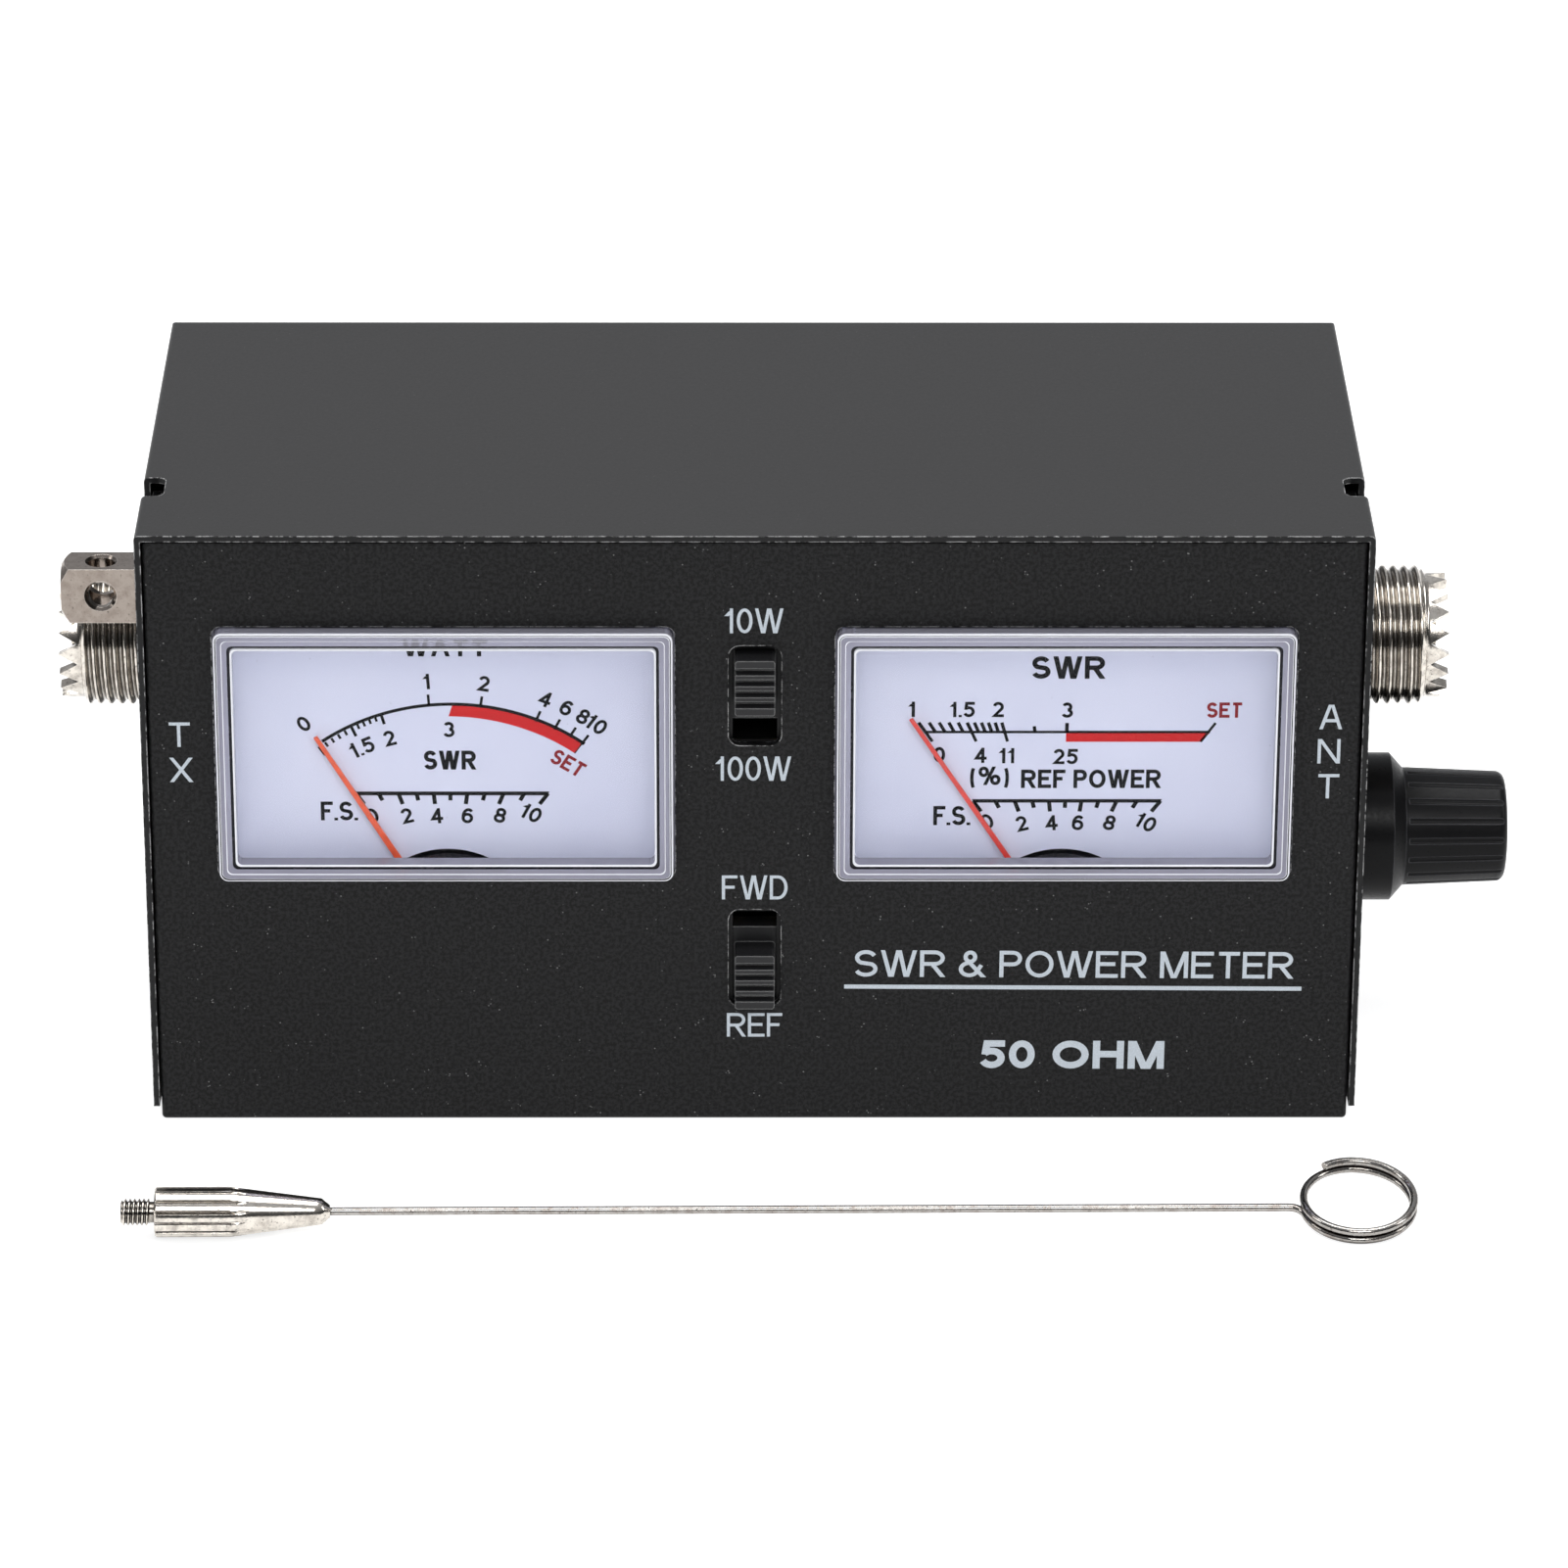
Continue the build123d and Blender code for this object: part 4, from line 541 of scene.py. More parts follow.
def make_socket(name, side, material):
    """The threaded, toothed barrel, with the flange and boss of the CAD shell behind it."""
    node = f"{name}_socket_shell"
    low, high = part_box(node)
    tip = max(abs(low.x), abs(high.x))
    height = (low.z + high.z) / 2
    thread_r = MOUNTS[f"{name}_thread"]["dims"]["r_mm"] * MM

    def place(along, radius, angle):
        return (side * along, radius * math.sin(angle), height + radius * math.cos(angle))

    rings = barrel_rings(tip, thread_r, THREAD_CREST[name], side)
    mesh = turned_mesh(node + "_detailed", rings, CROWN_TEETH * TOOTH_COLUMNS, place, joined=True)
    bm = bmesh.new()
    bm.from_mesh(NODES[node].data)
    bmesh.ops.remove_doubles(bm, verts=bm.verts, dist=0.001 * MM)
    cut = bmesh.ops.bisect_plane(bm, geom=bm.verts[:] + bm.edges[:] + bm.faces[:],
                                 plane_co=(side * FLANGE_CUT, 0, 0), plane_no=(side, 0, 0), clear_outer=True)
    rim = [edge for edge in cut["geom_cut"] if isinstance(edge, bmesh.types.BMEdge)]
    bmesh.ops.edgenet_fill(bm, edges=rim)
    bm.from_mesh(mesh)
    bm.to_mesh(mesh)
    bm.free()
    mesh.set_sharp_from_angle(angle=math.radians(35))
    piece = add_piece(f"{name}_socket_barrel", mesh, "case", material)
    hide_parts(node)


# ---- meter lenses ----------------------------------------------------------------
LENS_W = 50.2 * MM
LENS_LOW = 30.4 * MM
LENS_HIGH = 60.4 * MM
LENS_CORNER = 1.0 * MM
WINDOW_CORNER = 0.6 * MM
CORNER_STEPS = 6
FOOT_GAP = 0.02 * MM                        # between the moulding and its foot
PANE_Y = PANEL_Y + 0.4 * MM                 # the window's outer face
PANE_BACK_Y = PANE_Y + 1.2 * MM
SHEET_BACK_Y = PANEL_Y + 0.9 * MM           # the lens's foot starts behind the panel sheet
SHADED_RIM, SHADE_GROOVE, HIGHLIGHT_BEAD, WINDOW = range(4)        # the moulding's materials, in their order: a grey rim and a dark groove as painted shade, a pale bead as a painted highlight, and the clear window


def outline(low, high, corner, inset, y):
    """A rounded rectangle in the plane at y, shrunk by inset."""
    radius = max(WINDOW_CORNER, corner - inset)
    corners = ((high[0], high[1]), (low[0], high[1]), (low[0], low[1]), (high[0], low[1]))
    points = []
    for number, (x, z) in enumerate(corners):
        turn_x = x + (inset + radius) * (-1 if x == high[0] else 1)
        turn_z = z + (inset + radius) * (-1 if z == high[1] else 1)
        for step in range(CORNER_STEPS + 1):
            angle = math.radians(90 * number + 90 * step / CORNER_STEPS)
            points.append((turn_x + radius * math.cos(angle), y, turn_z + radius * math.sin(angle)))
    return points


def add_loops(bm, loops, bands, ring=False):
    """Joins loops of points into a closed skin: a ring, or a body with a flat cap at both ends."""
    rows = [[bm.verts.new(point) for point in loop] for loop in loops]
    count = len(rows[0])
    pairs = list(zip(rows, rows[1:], bands))
    if ring:
        pairs.append((rows[-1], rows[0], bands[-1]))
    for row, after, material in pairs:
        for number in range(count):
            beside = (number + 1) % count
            face = bm.faces.new((row[number], row[beside], after[beside], after[number]))
            face.material_index = material
    if not ring:
        for cap in (rows[0][::-1], rows[-1]):
            bm.faces.new(cap).material_index = WINDOW


def make_lens(side, materials):
    """The moulding in front of one dial: a window sunk in a thick rim, and its foot. The rim's grey and the
    grooves' dark are painted shade, and the beads' pale lines are painted highlights.
    """
    node = f"{side}_meter_lens"
    foot_low, foot_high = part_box(node)
    middle = (foot_low.x + foot_high.x) / 2
    front_y, back_y = foot_low.y, foot_high.y
    low, high = (middle - LENS_W / 2, LENS_LOW), (middle + LENS_W / 2, LENS_HIGH)
    # From the hollow behind the window, round the rim, to the window's edge: distance in from
    # the outline, depth, and the material of the band that ends there.
    steps = ((0.6, PANE_BACK_Y, WINDOW), (0.6, back_y, SHADED_RIM), (0.0, back_y, SHADED_RIM),
             (0.0, front_y + 0.2 * MM, SHADED_RIM), (0.06, front_y + 0.06 * MM, HIGHLIGHT_BEAD), (0.2, front_y, HIGHLIGHT_BEAD),
             (0.3, front_y + 0.1 * MM, SHADE_GROOVE), (0.4, front_y, HIGHLIGHT_BEAD), (0.85, front_y, SHADED_RIM),
             (0.95, front_y + 0.1 * MM, HIGHLIGHT_BEAD), (1.5, front_y + 0.1 * MM, SHADED_RIM),
             (1.56, front_y + 0.35 * MM, SHADE_GROOVE), (1.8, front_y + 0.35 * MM, SHADE_GROOVE),
             (1.84, front_y + 0.03 * MM, HIGHLIGHT_BEAD), (1.98, front_y, HIGHLIGHT_BEAD), (2.05, front_y + 0.1 * MM, HIGHLIGHT_BEAD),
             (2.05, PANE_Y, SHADED_RIM))
    bm = bmesh.new()
    loops = [outline(low, high, LENS_CORNER, inset * MM, y) for inset, y, band in steps]
    add_loops(bm, loops, [band for inset, y, band in steps[1:]])
    foot = ((foot_low.x, foot_low.z), (foot_high.x, foot_high.z))
    loops = [outline(*foot, LENS_CORNER, 0.0, back_y), outline(*foot, LENS_CORNER, 0.0, SHEET_BACK_Y),
             outline(low, high, LENS_CORNER, -FOOT_GAP, SHEET_BACK_Y),
             outline(low, high, LENS_CORNER, -FOOT_GAP, back_y)]
    add_loops(bm, loops, [SHADED_RIM, SHADED_RIM, SHADED_RIM], ring=True)
    bmesh.ops.recalc_face_normals(bm, faces=bm.faces)
    mesh = bpy.data.meshes.new(node + "_moulded")
    bm.to_mesh(mesh)
    bm.free()
    piece = add_piece(f"{side}_lens_moulding", mesh, "case", materials[SHADED_RIM])
    for material in materials[1:]:
        mesh.materials.append(material)
    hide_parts(node)


# ---- whip handle -----------------------------------------------------------------
STUD_R = MOUNTS["whip_stud"]["dims"]["r_mm"] * MM
STUD_PITCH = 0.5 * MM
STUD_DEPTH = 0.3 * MM
STUD_MOUNT = 2.0 * MM                       # from the stud's tip to its mount point
STUD_CREST = 0.22
STUD_CHAMFER = 0.3 * MM
STUD_RELIEF = 0.55 * MM                     # the plain length under the grip
STUD_END = 3.7 * MM
GRIP_START = 3.9 * MM
GRIP_END = 11.9 * MM
GRIP_R = 2.75 * MM
GRIP_FLUTES = 14
FLUTE_COLUMNS = 12
GRIP_CHAMFER = 0.2 * MM
FLUTE_DEPTH = 0.26 * MM
FLUTE_HALF = 0.17                           # half a flute's width over the flutes' spacing
FLUTE_RUNOUT = 2.2 * MM                     # along the cone, where the flutes fade out
CONE_END = 21.9 * MM
CONE_END_R = 1.45 * MM
HANDLE_END = 22.8 * MM
HANDLE_END_R = 0.7 * MM


def handle_radius(along, angle):
    """The radius of the threaded stud, the fluted grip and the cone, from the stud's tip."""
    if along < STUD_END:
        chamfer = STUD_R - STUD_CHAMFER + along
        relief = STUD_R - STUD_DEPTH * 1.1
        cut = STUD_R - STUD_DEPTH * thread_depth(along, angle, STUD_PITCH, STUD_CREST)
        return min(chamfer, relief if along > STUD_END - STUD_RELIEF else cut)
    flute = (angle * GRIP_FLUTES / (2 * math.pi)) % 1.0
    valley = max(0.0, 1 - (abs(flute - 0.5) / FLUTE_HALF) ** 2)
    grip = GRIP_R - FLUTE_DEPTH * valley
    start = GRIP_R - GRIP_CHAMFER + (along - STUD_END)
    slope = (GRIP_R - CONE_END_R) / (CONE_END - GRIP_END)
    cone = GRIP_R - slope * max(0.0, along - GRIP_END)
    if along > CONE_END:
        share = (along - CONE_END) / (HANDLE_END - CONE_END)
        cone = CONE_END_R + (HANDLE_END_R - CONE_END_R) * share
    return min(grip, start, cone)


def make_handle(material):
    stud = MOUNTS["whip_stud"]
    away = Vector(stud["axis"]).normalized()
    tip = Vector(stud["pos_m"]) + away * STUD_MOUNT
    across = away.cross(Vector((0, 0, 1))).normalized()
    upward = across.cross(away).normalized()

    def place(along, radius, angle):
        return tip - away * along + (across * math.sin(angle) + upward * math.cos(angle)) * radius

    places = stations(0.0, STUD_END, STUD_PITCH / 12)
    places += stations(STUD_END + 0.001 * MM, GRIP_START, 0.1 * MM)
    places += stations(GRIP_START, GRIP_END, 1.0 * MM)[1:]
    places += stations(GRIP_END, GRIP_END + FLUTE_RUNOUT, 0.11 * MM)[1:]
    places += stations(GRIP_END + FLUTE_RUNOUT, CONE_END, 1.0 * MM)[1:]
    places += stations(CONE_END, HANDLE_END, 0.3 * MM)[1:]
    rings = [lambda angle, along=along: (along, handle_radius(along, angle)) for along in places]
    mesh = turned_mesh("whip_handle_detailed", rings, GRIP_FLUTES * FLUTE_COLUMNS, place)
    mesh.set_sharp_from_angle(angle=math.radians(38))
    piece = add_piece("whip_grip", mesh, "whip", material)
    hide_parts("whip_handle")


# ---- lettering -------------------------------------------------------------------
def curve(centre, radii, start, end):
    """Points along part of an ellipse, from start to end degrees anticlockwise from +X."""
    steps = max(4, round(abs(end - start) / 15))
    angles = [math.radians(start + (end - start) * step / steps) for step in range(steps + 1)]
    return [(centre[0] + radii[0] * math.cos(a), centre[1] + radii[1] * math.sin(a)) for a in angles]


# Each glyph: its width over its height, and its strokes in a box from (0, 0) to (1, 1).
BOWL = curve((0.6, 0.745), (0.38, 0.255), 90, -90)
GLYPHS = {
    "0": (0.70, [curve((0.5, 0.5), (0.5, 0.5), 0, 360)]),
    "1": (0.42, [[(0.0, 0.72), (0.72, 0.93)], [(0.8, 1.0), (0.8, 0.0)]]),
    "2": (0.68, [curve((0.5, 0.71), (0.48, 0.29), 165, -32) + [(0.06, 0.0), (1.0, 0.0)]]),
    "3": (0.68, [curve((0.48, 0.75), (0.44, 0.25), 155, -80), curve((0.48, 0.26), (0.52, 0.26), 80, -158)]),
    "4": (0.72, [[(0.74, 0.0), (0.74, 1.0)], [(0.66, 0.96), (0.02, 0.27), (1.0, 0.27)]]),
    "5": (0.68, [[(1.0, 1.0), (0.2, 1.0), (0.1, 0.48)], curve((0.47, 0.325), (0.53, 0.325), 138, -155)]),
    "6": (0.70, [curve((0.5, 0.31), (0.5, 0.31), 0, 360), curve((0.56, 0.5), (0.56, 0.5), 195, 48)]),
    "8": (0.70, [curve((0.5, 0.755), (0.42, 0.245), 0, 360), curve((0.5, 0.26), (0.5, 0.26), 0, 360)]),
    ".": (0.15, [[(0.5, 0.0), (0.5, 0.06)]]),
    " ": (0.26, []),
    "A": (0.90, [[(0.0, 0.0), (0.45, 1.0)], [(0.55, 1.0), (1.0, 0.0)], [(0.2, 0.33), (0.8, 0.33)]]),
    "D": (0.82, [[(0.45, 0.0), (0.0, 0.0), (0.0, 1.0)] + curve((0.45, 0.5), (0.55, 0.5), 90, -90)]),
    "E": (0.78, [[(1.0, 1.0), (0.0, 1.0), (0.0, 0.0), (1.0, 0.0)], [(0.0, 0.52), (0.96, 0.52)]]),
    "F": (0.72, [[(1.0, 1.0), (0.0, 1.0), (0.0, 0.0)], [(0.0, 0.51), (0.9, 0.51)]]),
    "H": (0.84, [[(0.0, 0.0), (0.0, 1.0)], [(1.0, 0.0), (1.0, 1.0)], [(0.0, 0.53), (1.0, 0.53)]]),
    "M": (0.98, [[(0.0, 0.0), (0.0, 1.0)], [(1.0, 0.0), (1.0, 1.0)], [(0.03, 1.0), (0.47, 0.0)],
                 [(0.97, 1.0), (0.53, 0.0)]]),
    "N": (0.84, [[(0.0, 0.0), (0.0, 1.0)], [(1.0, 0.0), (1.0, 1.0)], [(0.02, 1.0), (0.98, 0.0)]]),
    "O": (0.98, [curve((0.5, 0.5), (0.5, 0.5), 0, 360)]),
    "P": (0.80, [[(0.0, 0.0), (0.0, 1.0)], [(0.0, 1.0)] + BOWL + [(0.0, 0.49)]]),
    "R": (0.88, [[(0.0, 0.0), (0.0, 1.0)], [(0.0, 1.0)] + BOWL + [(0.0, 0.49)], [(0.5, 0.47), (1.0, 0.0)]]),
    "S": (0.82, [curve((0.5, 0.745), (0.46, 0.255), 22, 235) + curve((0.5, 0.26), (0.5, 0.26), 52, -160)]),
    "T": (0.80, [[(0.0, 1.0), (1.0, 1.0)], [(0.5, 0.93), (0.5, 0.0)]]),
    "W": (1.26, [[(0.0, 1.0), (0.24, 0.0)], [(0.28, 0.0), (0.48, 1.0)], [(0.52, 1.0), (0.72, 0.0)],
                 [(0.76, 0.0), (1.0, 1.0)]]),
    "X": (0.88, [[(0.0, 0.0), (1.0, 1.0)], [(0.0, 1.0), (1.0, 0.0)]]),
    "&": (0.94, [curve((0.41, 0.8), (0.21, 0.2), 0, 360), [(0.24, 0.7), (1.0, 0.0)],
                 curve((0.37, 0.27), (0.37, 0.27), 100, 320) + [(0.9, 0.45)]]),
    "(": (0.30, [curve((1.3, 0.36), (1.3, 0.74), 122, 238)]),
    ")": (0.30, [curve((-0.3, 0.36), (1.3, 0.74), 58, -58)]),
    "%": (1.10, [curve((0.19, 0.76), (0.19, 0.24), 0, 360), curve((0.81, 0.24), (0.19, 0.24), 0, 360),
                 [(0.26, 0.0), (0.74, 1.0)]]),
}
LETTER_GAP = 0.11
ARC_STEPS = 48
STROKE_LIFT = 0.002                         # keeps crossing strokes out of one plane


def glyph_points(path, width, height, pen):
    """A stroke's points in millimetres. Its straight ends run on to the edge of the glyph's box."""
    points = [[pen / 2 + x * (width - pen), pen / 2 + z * (height - pen)] for x, z in path]
    for end, beside in ((0, 1), (-1, -2)):
        along_x = abs(path[end][0] - path[beside][0]) * width
        along_z = abs(path[end][1] - path[beside][1]) * height
        steep = along_z > 0.5 * along_x
        if steep and path[end][1] in (0.0, 1.0) and len(path) < 5:
            points[end][1] = path[end][1] * height
        elif not steep and along_z < 0.01 and path[end][0] == 1.0:
            points[end][0] = width
    return points


def stroke_edges(points, width):
    """The left and right edges of a stroke of that width. Straight ends are cut level or upright."""
    closed = math.dist(points[0], points[-1]) < 0.0001
    if closed:
        points = points[:-1]
    count = len(points)
    lefts, rights = [], []
    for number, point in enumerate(points):
        before = points[number - 1] if closed or number > 0 else None
        after = points[(number + 1) % count] if closed or number < count - 1 else None
        ways = [Vector(b) - Vector(a) for a, b in ((before, point), (point, after)) if a and b]
        normals = [Vector((-way.y, way.x)).normalized() for way in ways]
        middle = sum(normals, Vector((0, 0))).normalized()
        side = middle * (width / 2 / max(0.45, middle.dot(normals[0])))
        if len(ways) == 1 and count == 2:
            way = ways[0]
            upright = abs(way.y) > 0.5 * abs(way.x)
            side = Vector((width / 2 / normals[0].x, 0)) if upright else Vector((0, width / 2 / normals[0].y))
            side = side if side.dot(normals[0]) > 0 else -side
        lefts.append(Vector(point) + side)
        rights.append(Vector(point) - side)
    if closed:
        lefts.append(lefts[0])
        rights.append(rights[0])
    return lefts, rights


class Print:
    """Flat ink on a face that looks along -Y, drawn in millimetres from a centre."""

    def __init__(self, centre, face_y, thickness=0.02):
        self.centre = Vector(centre)
        self.front = face_y - thickness * MM
        self.back = face_y + 0.005 * MM
        self.bm = bmesh.new()

    def band(self, lefts, rights, lift=0.0):
        """A closed strip between two edges, each a list of points, which may end where it starts."""
        closed = math.dist(lefts[0], lefts[-1]) < 0.0001
        count = len(lefts) - 1 if closed else len(lefts)
        corners = []
        for edge in (lefts, rights):
            for depth in (self.front - lift * MM, self.back):
                corners.append([self.bm.verts.new((self.centre.x + x * MM, depth, self.centre.z + z * MM))
                                for x, z in edge[:count]])
        left, left_back, right, right_back = corners
        loops = (left, right, right_back, left_back)
        for number in range(count if closed else count - 1):
            after = (number + 1) % count
            for side in range(4):
                one, other = loops[side], loops[(side + 1) % 4]
                self.bm.faces.new((one[number], one[after], other[after], other[number]))
        if not closed:
            self.bm.faces.new([loop[0] for loop in loops])
            self.bm.faces.new([loop[-1] for loop in loops][::-1])

    def patch(self, corners):
        """A four-sided patch, given corner by corner."""
        self.band([corners[0], corners[1]], [corners[3], corners[2]])

    def stroke(self, start, end, width):
        way = (Vector(end) - Vector(start)).normalized()
        side = Vector((-way.y, way.x)) * width / 2
        self.band([Vector(start) + side, Vector(end) + side], [Vector(start) - side, Vector(end) - side])

    def tick(self, angle, inner, outer, width):
        """A stroke along a radius, angle degrees to the right of upright."""
        self.stroke(polar(angle, inner), polar(angle, outer), width)

    def arc(self, low_edge, high_edge, start, end):
        """A band between two edge functions of the angle, each giving a point."""
        angles = [start + (end - start) * step / ARC_STEPS for step in range(ARC_STEPS + 1)]
        self.band([low_edge(angle) for angle in angles], [high_edge(angle) for angle in angles])

    def text(self, words, at, height, width=None, turn=0.0, weight=0.15):
        """Capitals or digits of that height, centred on a point, and fitted to a width.
        turn is clockwise, and weight is the strokes' width over the height."""
        natural = sum(GLYPHS[letter][0] for letter in words) + LETTER_GAP * (len(words) - 1)
        stretch = width / (natural * height) if width else 1.0
        pen = weight * height
        cursor = -natural * height * stretch / 2
        lean = Matrix.Rotation(math.radians(-turn), 2)
        for letter in words:
            glyph_w = GLYPHS[letter][0] * height * stretch
            for number, path in enumerate(GLYPHS[letter][1]):
                points = [(cursor + x, z - height / 2) for x, z in glyph_points(path, glyph_w, height, pen)]
                lefts, rights = stroke_edges(points, pen)
                turned = [[Vector(at) + lean @ point for point in edge] for edge in (lefts, rights)]
                self.band(*turned, lift=STROKE_LIFT * number)
            cursor += glyph_w + LETTER_GAP * height * stretch

    def build(self, name, material):
        bmesh.ops.recalc_face_normals(self.bm, faces=self.bm.faces)
        mesh = bpy.data.meshes.new(name)
        self.bm.to_mesh(mesh)
        self.bm.free()
        return add_piece(name, mesh, "case", material)


def polar(angle, radius):
    turned = math.radians(angle)
    return (radius * math.sin(turned), radius * math.cos(turned))


# Dial sizes are millimetres from each dial's centre, and angles degrees right of upright.
PRINT_X = {side: sum(end.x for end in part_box(f"{side}_dial_plate")) / 2 for side in ("left", "right")}
PRINT_Z = 23.65 * MM                        # where the scales' radii meet
ZERO = -33.9
FULL = 35.2
SWR_ANGLES = {1.0: ZERO, 1.5: -24.1, 2.0: -16.0, 3.0: 0.8}
WATT_ANGLES = {1: -4.0, 2: 8.5, 4: 22.5, 6: 27.5, 8: 31.7, 10: FULL}
DIGIT = 1.85
DIGIT_WEIGHT = 0.19
TICK_W = 0.4
TITLE_SLOPE = 0.33                          # degrees clockwise: the title is printed askew


def swr_ticks():
    """The angle of each tenth from 1 to 2."""
    first = [SWR_ANGLES[1.0] + (SWR_ANGLES[1.5] - SWR_ANGLES[1.0]) * n / 5 for n in range(5)]
    second = [SWR_ANGLES[1.5] + (SWR_ANGLES[2.0] - SWR_ANGLES[1.5]) * n / 5 for n in range(6)]
    return first + second


def on_ray(angle, z):
    """The point on a radius at that height above the radii's centre."""
    return (z * math.tan(math.radians(angle)), z)


def linear_scale(art, line_z, line_w, first, last, numbers):
    """The straight full-scale line from 0 to 10, with ticks along the radii below it.
    numbers holds the place of each even number."""
    low, high = line_z - line_w / 2, line_z + line_w / 2
    art.patch([on_ray(first, low), on_ray(last, low), on_ray(last, high), on_ray(first, high)])
    for number in range(11):
        angle = first + (last - first) * number / 10
        drop = 1.3 if number % 2 == 0 else 0.85
        art.stroke(on_ray(angle, line_z), on_ray(angle, line_z - drop), TICK_W + 0.06)
    for value, place in zip(range(0, 11, 2), numbers):
        angle = first + (last - first) * value / 10
        art.text(str(value), place, DIGIT, turn=angle * 0.75, weight=DIGIT_WEIGHT)


def print_left_dial(black, red, dark_red):
    """Power on the arc, standing-wave ratio below it and full scale on the straight line."""
    centre = Vector((PRINT_X["left"], 0, PRINT_Z))
    art = Print(centre, DIAL_Y)
    band = Print(centre, DIAL_Y)
    arc_middle, arc_r, arc_w = (0.59, 1.29), 24.78, 0.38
    low_middle, low_r = (0.19, 0.49), 24.11

    def around(middle, radius):
        def edge(angle):
            x, z = polar(angle, radius)
            return (middle[0] + x, middle[1] + z)
        return edge

    art.arc(around(arc_middle, arc_r - arc_w / 2), around(arc_middle, arc_r + arc_w / 2), -35.2, 36.4)
    band.arc(around(low_middle, low_r), around(arc_middle, arc_r - arc_w / 2), 0.3, 35.6)
    for angle in WATT_ANGLES.values():
        art.tick(angle, 25.9, 27.3, 0.3)
    art.tick(FULL, 24.6, 26.0, 0.14)
    for number, angle in enumerate(swr_ticks()):
        long_tick = number % 5 == 0
        root = 25.2 + 0.6 * number / 10
        art.tick(angle, root - (1.2 if long_tick else 0.6), root, 0.34 if long_tick else 0.28)
    for value, angle in {0: -33.5, **WATT_ANGLES}.items():
        art.text(str(value), polar(angle, 28.4 if value == 0 else 28.87), DIGIT, turn=angle,
                 weight=DIGIT_WEIGHT)
    art.text("1.5", polar(-24.1, 22.8), DIGIT, turn=-24.0, weight=DIGIT_WEIGHT)
    art.text("2", polar(-15.9, 22.8), DIGIT, turn=-16.0, weight=DIGIT_WEIGHT)
    art.text("3", (0.33, 23.0), DIGIT, weight=DIGIT_WEIGHT)
    art.text("WATT", (0.05, 33.0), 2.3, 9.3, weight=0.2)
    art.text("SWR", (0.38, 19.27), 2.3, 5.8, weight=0.2)
    art.text("F.S.", (-12.0, 13.05), 2.3, 4.05, weight=0.18)
    linear_scale(art, 15.2, 0.46, -33.5, 36.4,
                 ((-8.34, 12.48), (-4.5, 12.46), (-1.17, 12.45), (2.24, 12.47), (5.87, 12.51), (9.32, 12.78)))
    dark = Print(centre, DIAL_Y)
    dark.text("SET", polar(35.4, 23.2), 1.85, 3.9, turn=32.0, weight=DIGIT_WEIGHT)
    art.build("left_dial_print_black", black)
    band.build("left_dial_print_red", red)
    dark.build("left_dial_print_set", dark_red)


def print_right_dial(black, red, dark_red):
    """Standing-wave ratio above the line, reflected power below it, and full scale."""
    centre = Vector((PRINT_X["right"], 0, PRINT_Z))
    art = Print(centre, DIAL_Y)
    band = Print(centre, DIAL_Y)
    line_z, line_w, low_z, set_x = 22.69, 0.3, 21.5, 16.2
    low, high = line_z - line_w / 2, line_z + line_w / 2
    art.patch([on_ray(ZERO, low), (set_x, low), (set_x, high), on_ray(ZERO, high)])
    band.patch([(0.28, low_z), on_ray(FULL, low_z), (set_x - 0.08, low), (0.28, low)])
    art.stroke(on_ray(FULL, low_z), on_ray(FULL, line_z + 1.1), 0.3)
    for number, angle in enumerate(swr_ticks()):
        art.stroke(on_ray(angle, line_z), on_ray(angle, line_z + 1.15), 0.38)
        if number % 5 == 0:
            art.stroke(on_ray(angle, line_z), on_ray(angle, line_z - 1.15), 0.34)
    art.stroke(on_ray(-7.9, line_z), on_ray(-7.9, line_z + 0.7), 0.38)
    art.stroke(on_ray(0.9, line_z), on_ray(0.9, line_z + 1.1), 0.4)
    for words, place in (("1", (-16.75, 25.45)), ("1.5", (-11.2, 25.42)), ("2", (-7.25, 25.42)),
                         ("3", (0.37, 25.35)), ("0", (-13.69, 19.94)), ("4", (-9.11, 19.85)),
                         ("11", (-6.2, 19.81)), ("25", (0.27, 19.7))):
        art.text(words, place, DIGIT, weight=DIGIT_WEIGHT)
    art.text("SWR", (0.4, 30.5), 2.7, 8.1, weight=0.2)
    art.text("(%)", (-8.1, 17.35), 2.25, 4.3, weight=0.17)
    art.text("REF POWER", (3.15, 16.98), 2.25, 15.5, weight=0.19)
    art.text("F.S.", (-12.25, 12.48), 2.35, 4.05, weight=0.18)
    linear_scale(art, 14.28, 0.42, -34.7, 37.4,
                 ((-8.3, 11.77), (-4.46, 11.49), (-1.13, 11.58), (1.8, 11.6), (5.32, 11.6), (9.36, 11.64)))
    dark = Print(centre, DIAL_Y)
    dark.text("SET", (17.7, 25.35), 1.85, 3.9, weight=DIGIT_WEIGHT)
    art.build("right_dial_print_black", black)
    band.build("right_dial_print_red", red)
    dark.build("right_dial_print_set", dark_red)


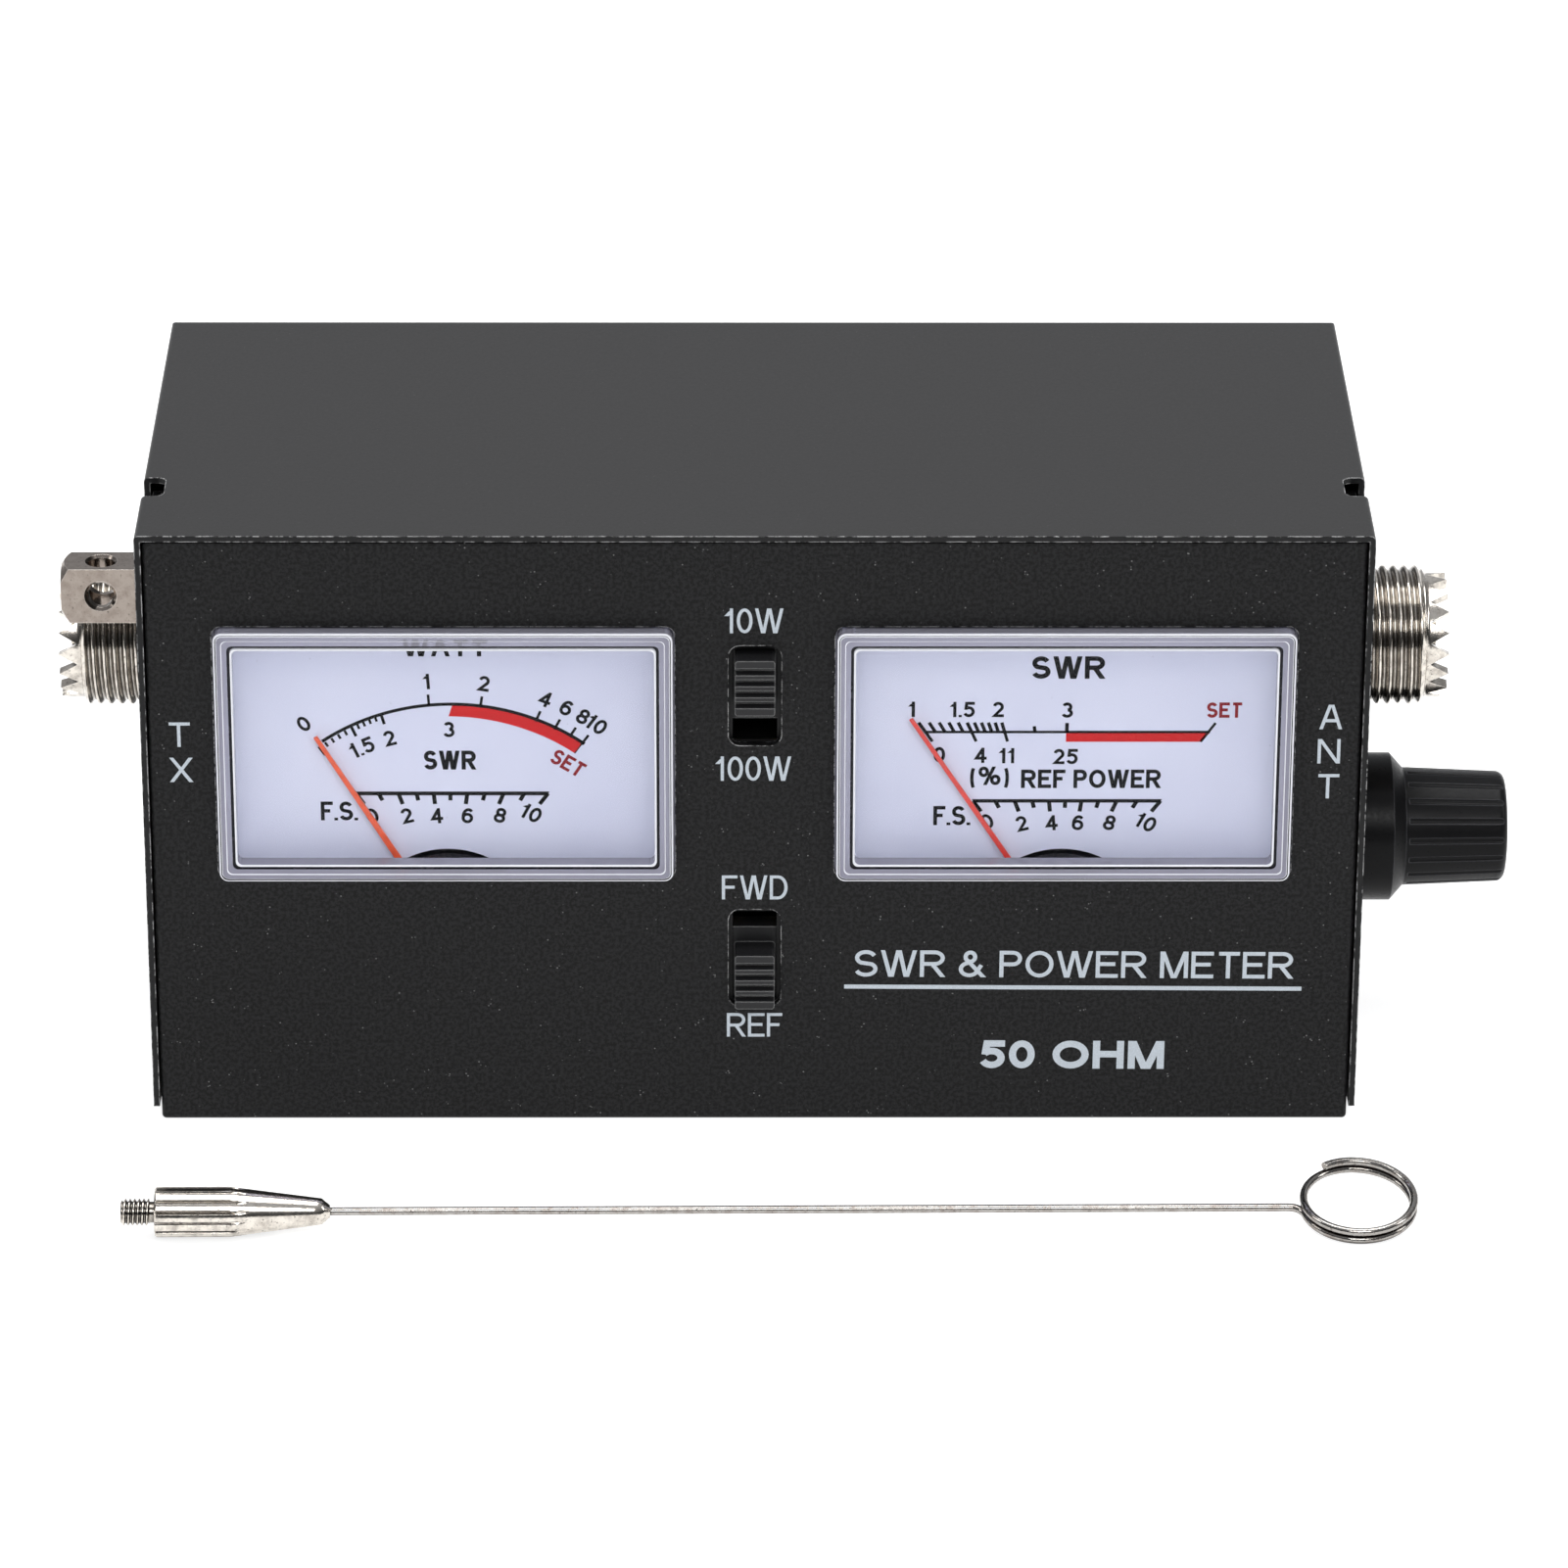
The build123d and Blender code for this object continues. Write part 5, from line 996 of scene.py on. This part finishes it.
def print_panel(white):
    """The legends on the front panel, in millimetres from the middle of its lower edge."""
    art = Print((0, 0, 0), PANEL_Y, thickness=0.03)
    tall = 2.95
    for letter, x, z in (("T", -63.3, 47.67), ("X", -63.15, 43.4), ("A", 63.3, 49.8), ("N", 63.2, 45.65),
                         ("T", 63.2, 41.4)):
        art.text(letter, (x, z), tall, 2.5, weight=0.125)
    art.text("10W", (-0.1, 61.35), tall, 6.4, weight=0.12)
    art.text("100W", (-0.15, 43.55), tall, 8.3, weight=0.12)
    art.text("FWD", (0.0, 29.0), tall, 7.3, weight=0.12)
    art.text("REF", (0.0, 11.9), tall, 6.2, weight=0.12)
    art.text("SWR & POWER METER", (35.6, 19.45), 3.3, 49.0, turn=TITLE_SLOPE, weight=0.14)
    drop = 25.5 * math.tan(math.radians(TITLE_SLOPE))
    art.stroke((10.0, 16.55 + drop), (61.1, 16.55 - drop), 0.5)
    art.text("50 OHM", (35.6, 8.15), 3.5, 20.7, turn=TITLE_SLOPE, weight=0.23)
    art.build("panel_lettering", white)


# ---- putting it together ---------------------------------------------------------
def finish_nodes(finishes):
    """Gives each CAD node the finish of its slot."""
    for name, node in NODES.items():
        node.data.materials.clear()
        node.data.materials.append(finishes[SLOTS[name]])


def main():
    make_camera()
    make_floor()
    make_light()
    finishes = make_finishes()
    finish_nodes(finishes)
    make_socket("tx", -1, finishes["bright_nickel"])
    make_socket("ant", 1, finishes["bright_nickel"])
    make_handle(finishes["bright_nickel"])
    # painted shade: the rim's grey and the groove's near-black; painted highlight: the bead's pale tone
    rim = clear_acrylic("lens_rim_painted_shade", (0.40, 0.395, 0.475), 0.5, 0.1, 0.5)
    groove_painted_shade = clear_acrylic("lens_groove_painted_shade", (0.012, 0.012, 0.015), 0.1, 0.3)
    bead_painted_highlight = clear_acrylic("lens_bead_painted_highlight", (0.88, 0.89, 0.94), 0.1, 0.08, 1.0)
    for side in ("left", "right"):
        make_lens(side, (rim, groove_painted_shade, bead_painted_highlight, finishes["lens_clear"]))
    black = ink("dial_ink_black", (0.003, 0.003, 0.004))
    red = ink("dial_ink_red", (0.60, 0.018, 0.02))
    dark_red = ink("dial_ink_dark_red", (0.24, 0.015, 0.02))
    white = ink("panel_ink_white", (0.50, 0.55, 0.60))
    print_left_dial(black, red, dark_red)
    print_right_dial(black, red, dark_red)
    print_panel(white)


main()
bpy.context.view_layer.update()
sizes = [[list(corner) for corner in box] for box in (cad_box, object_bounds())]
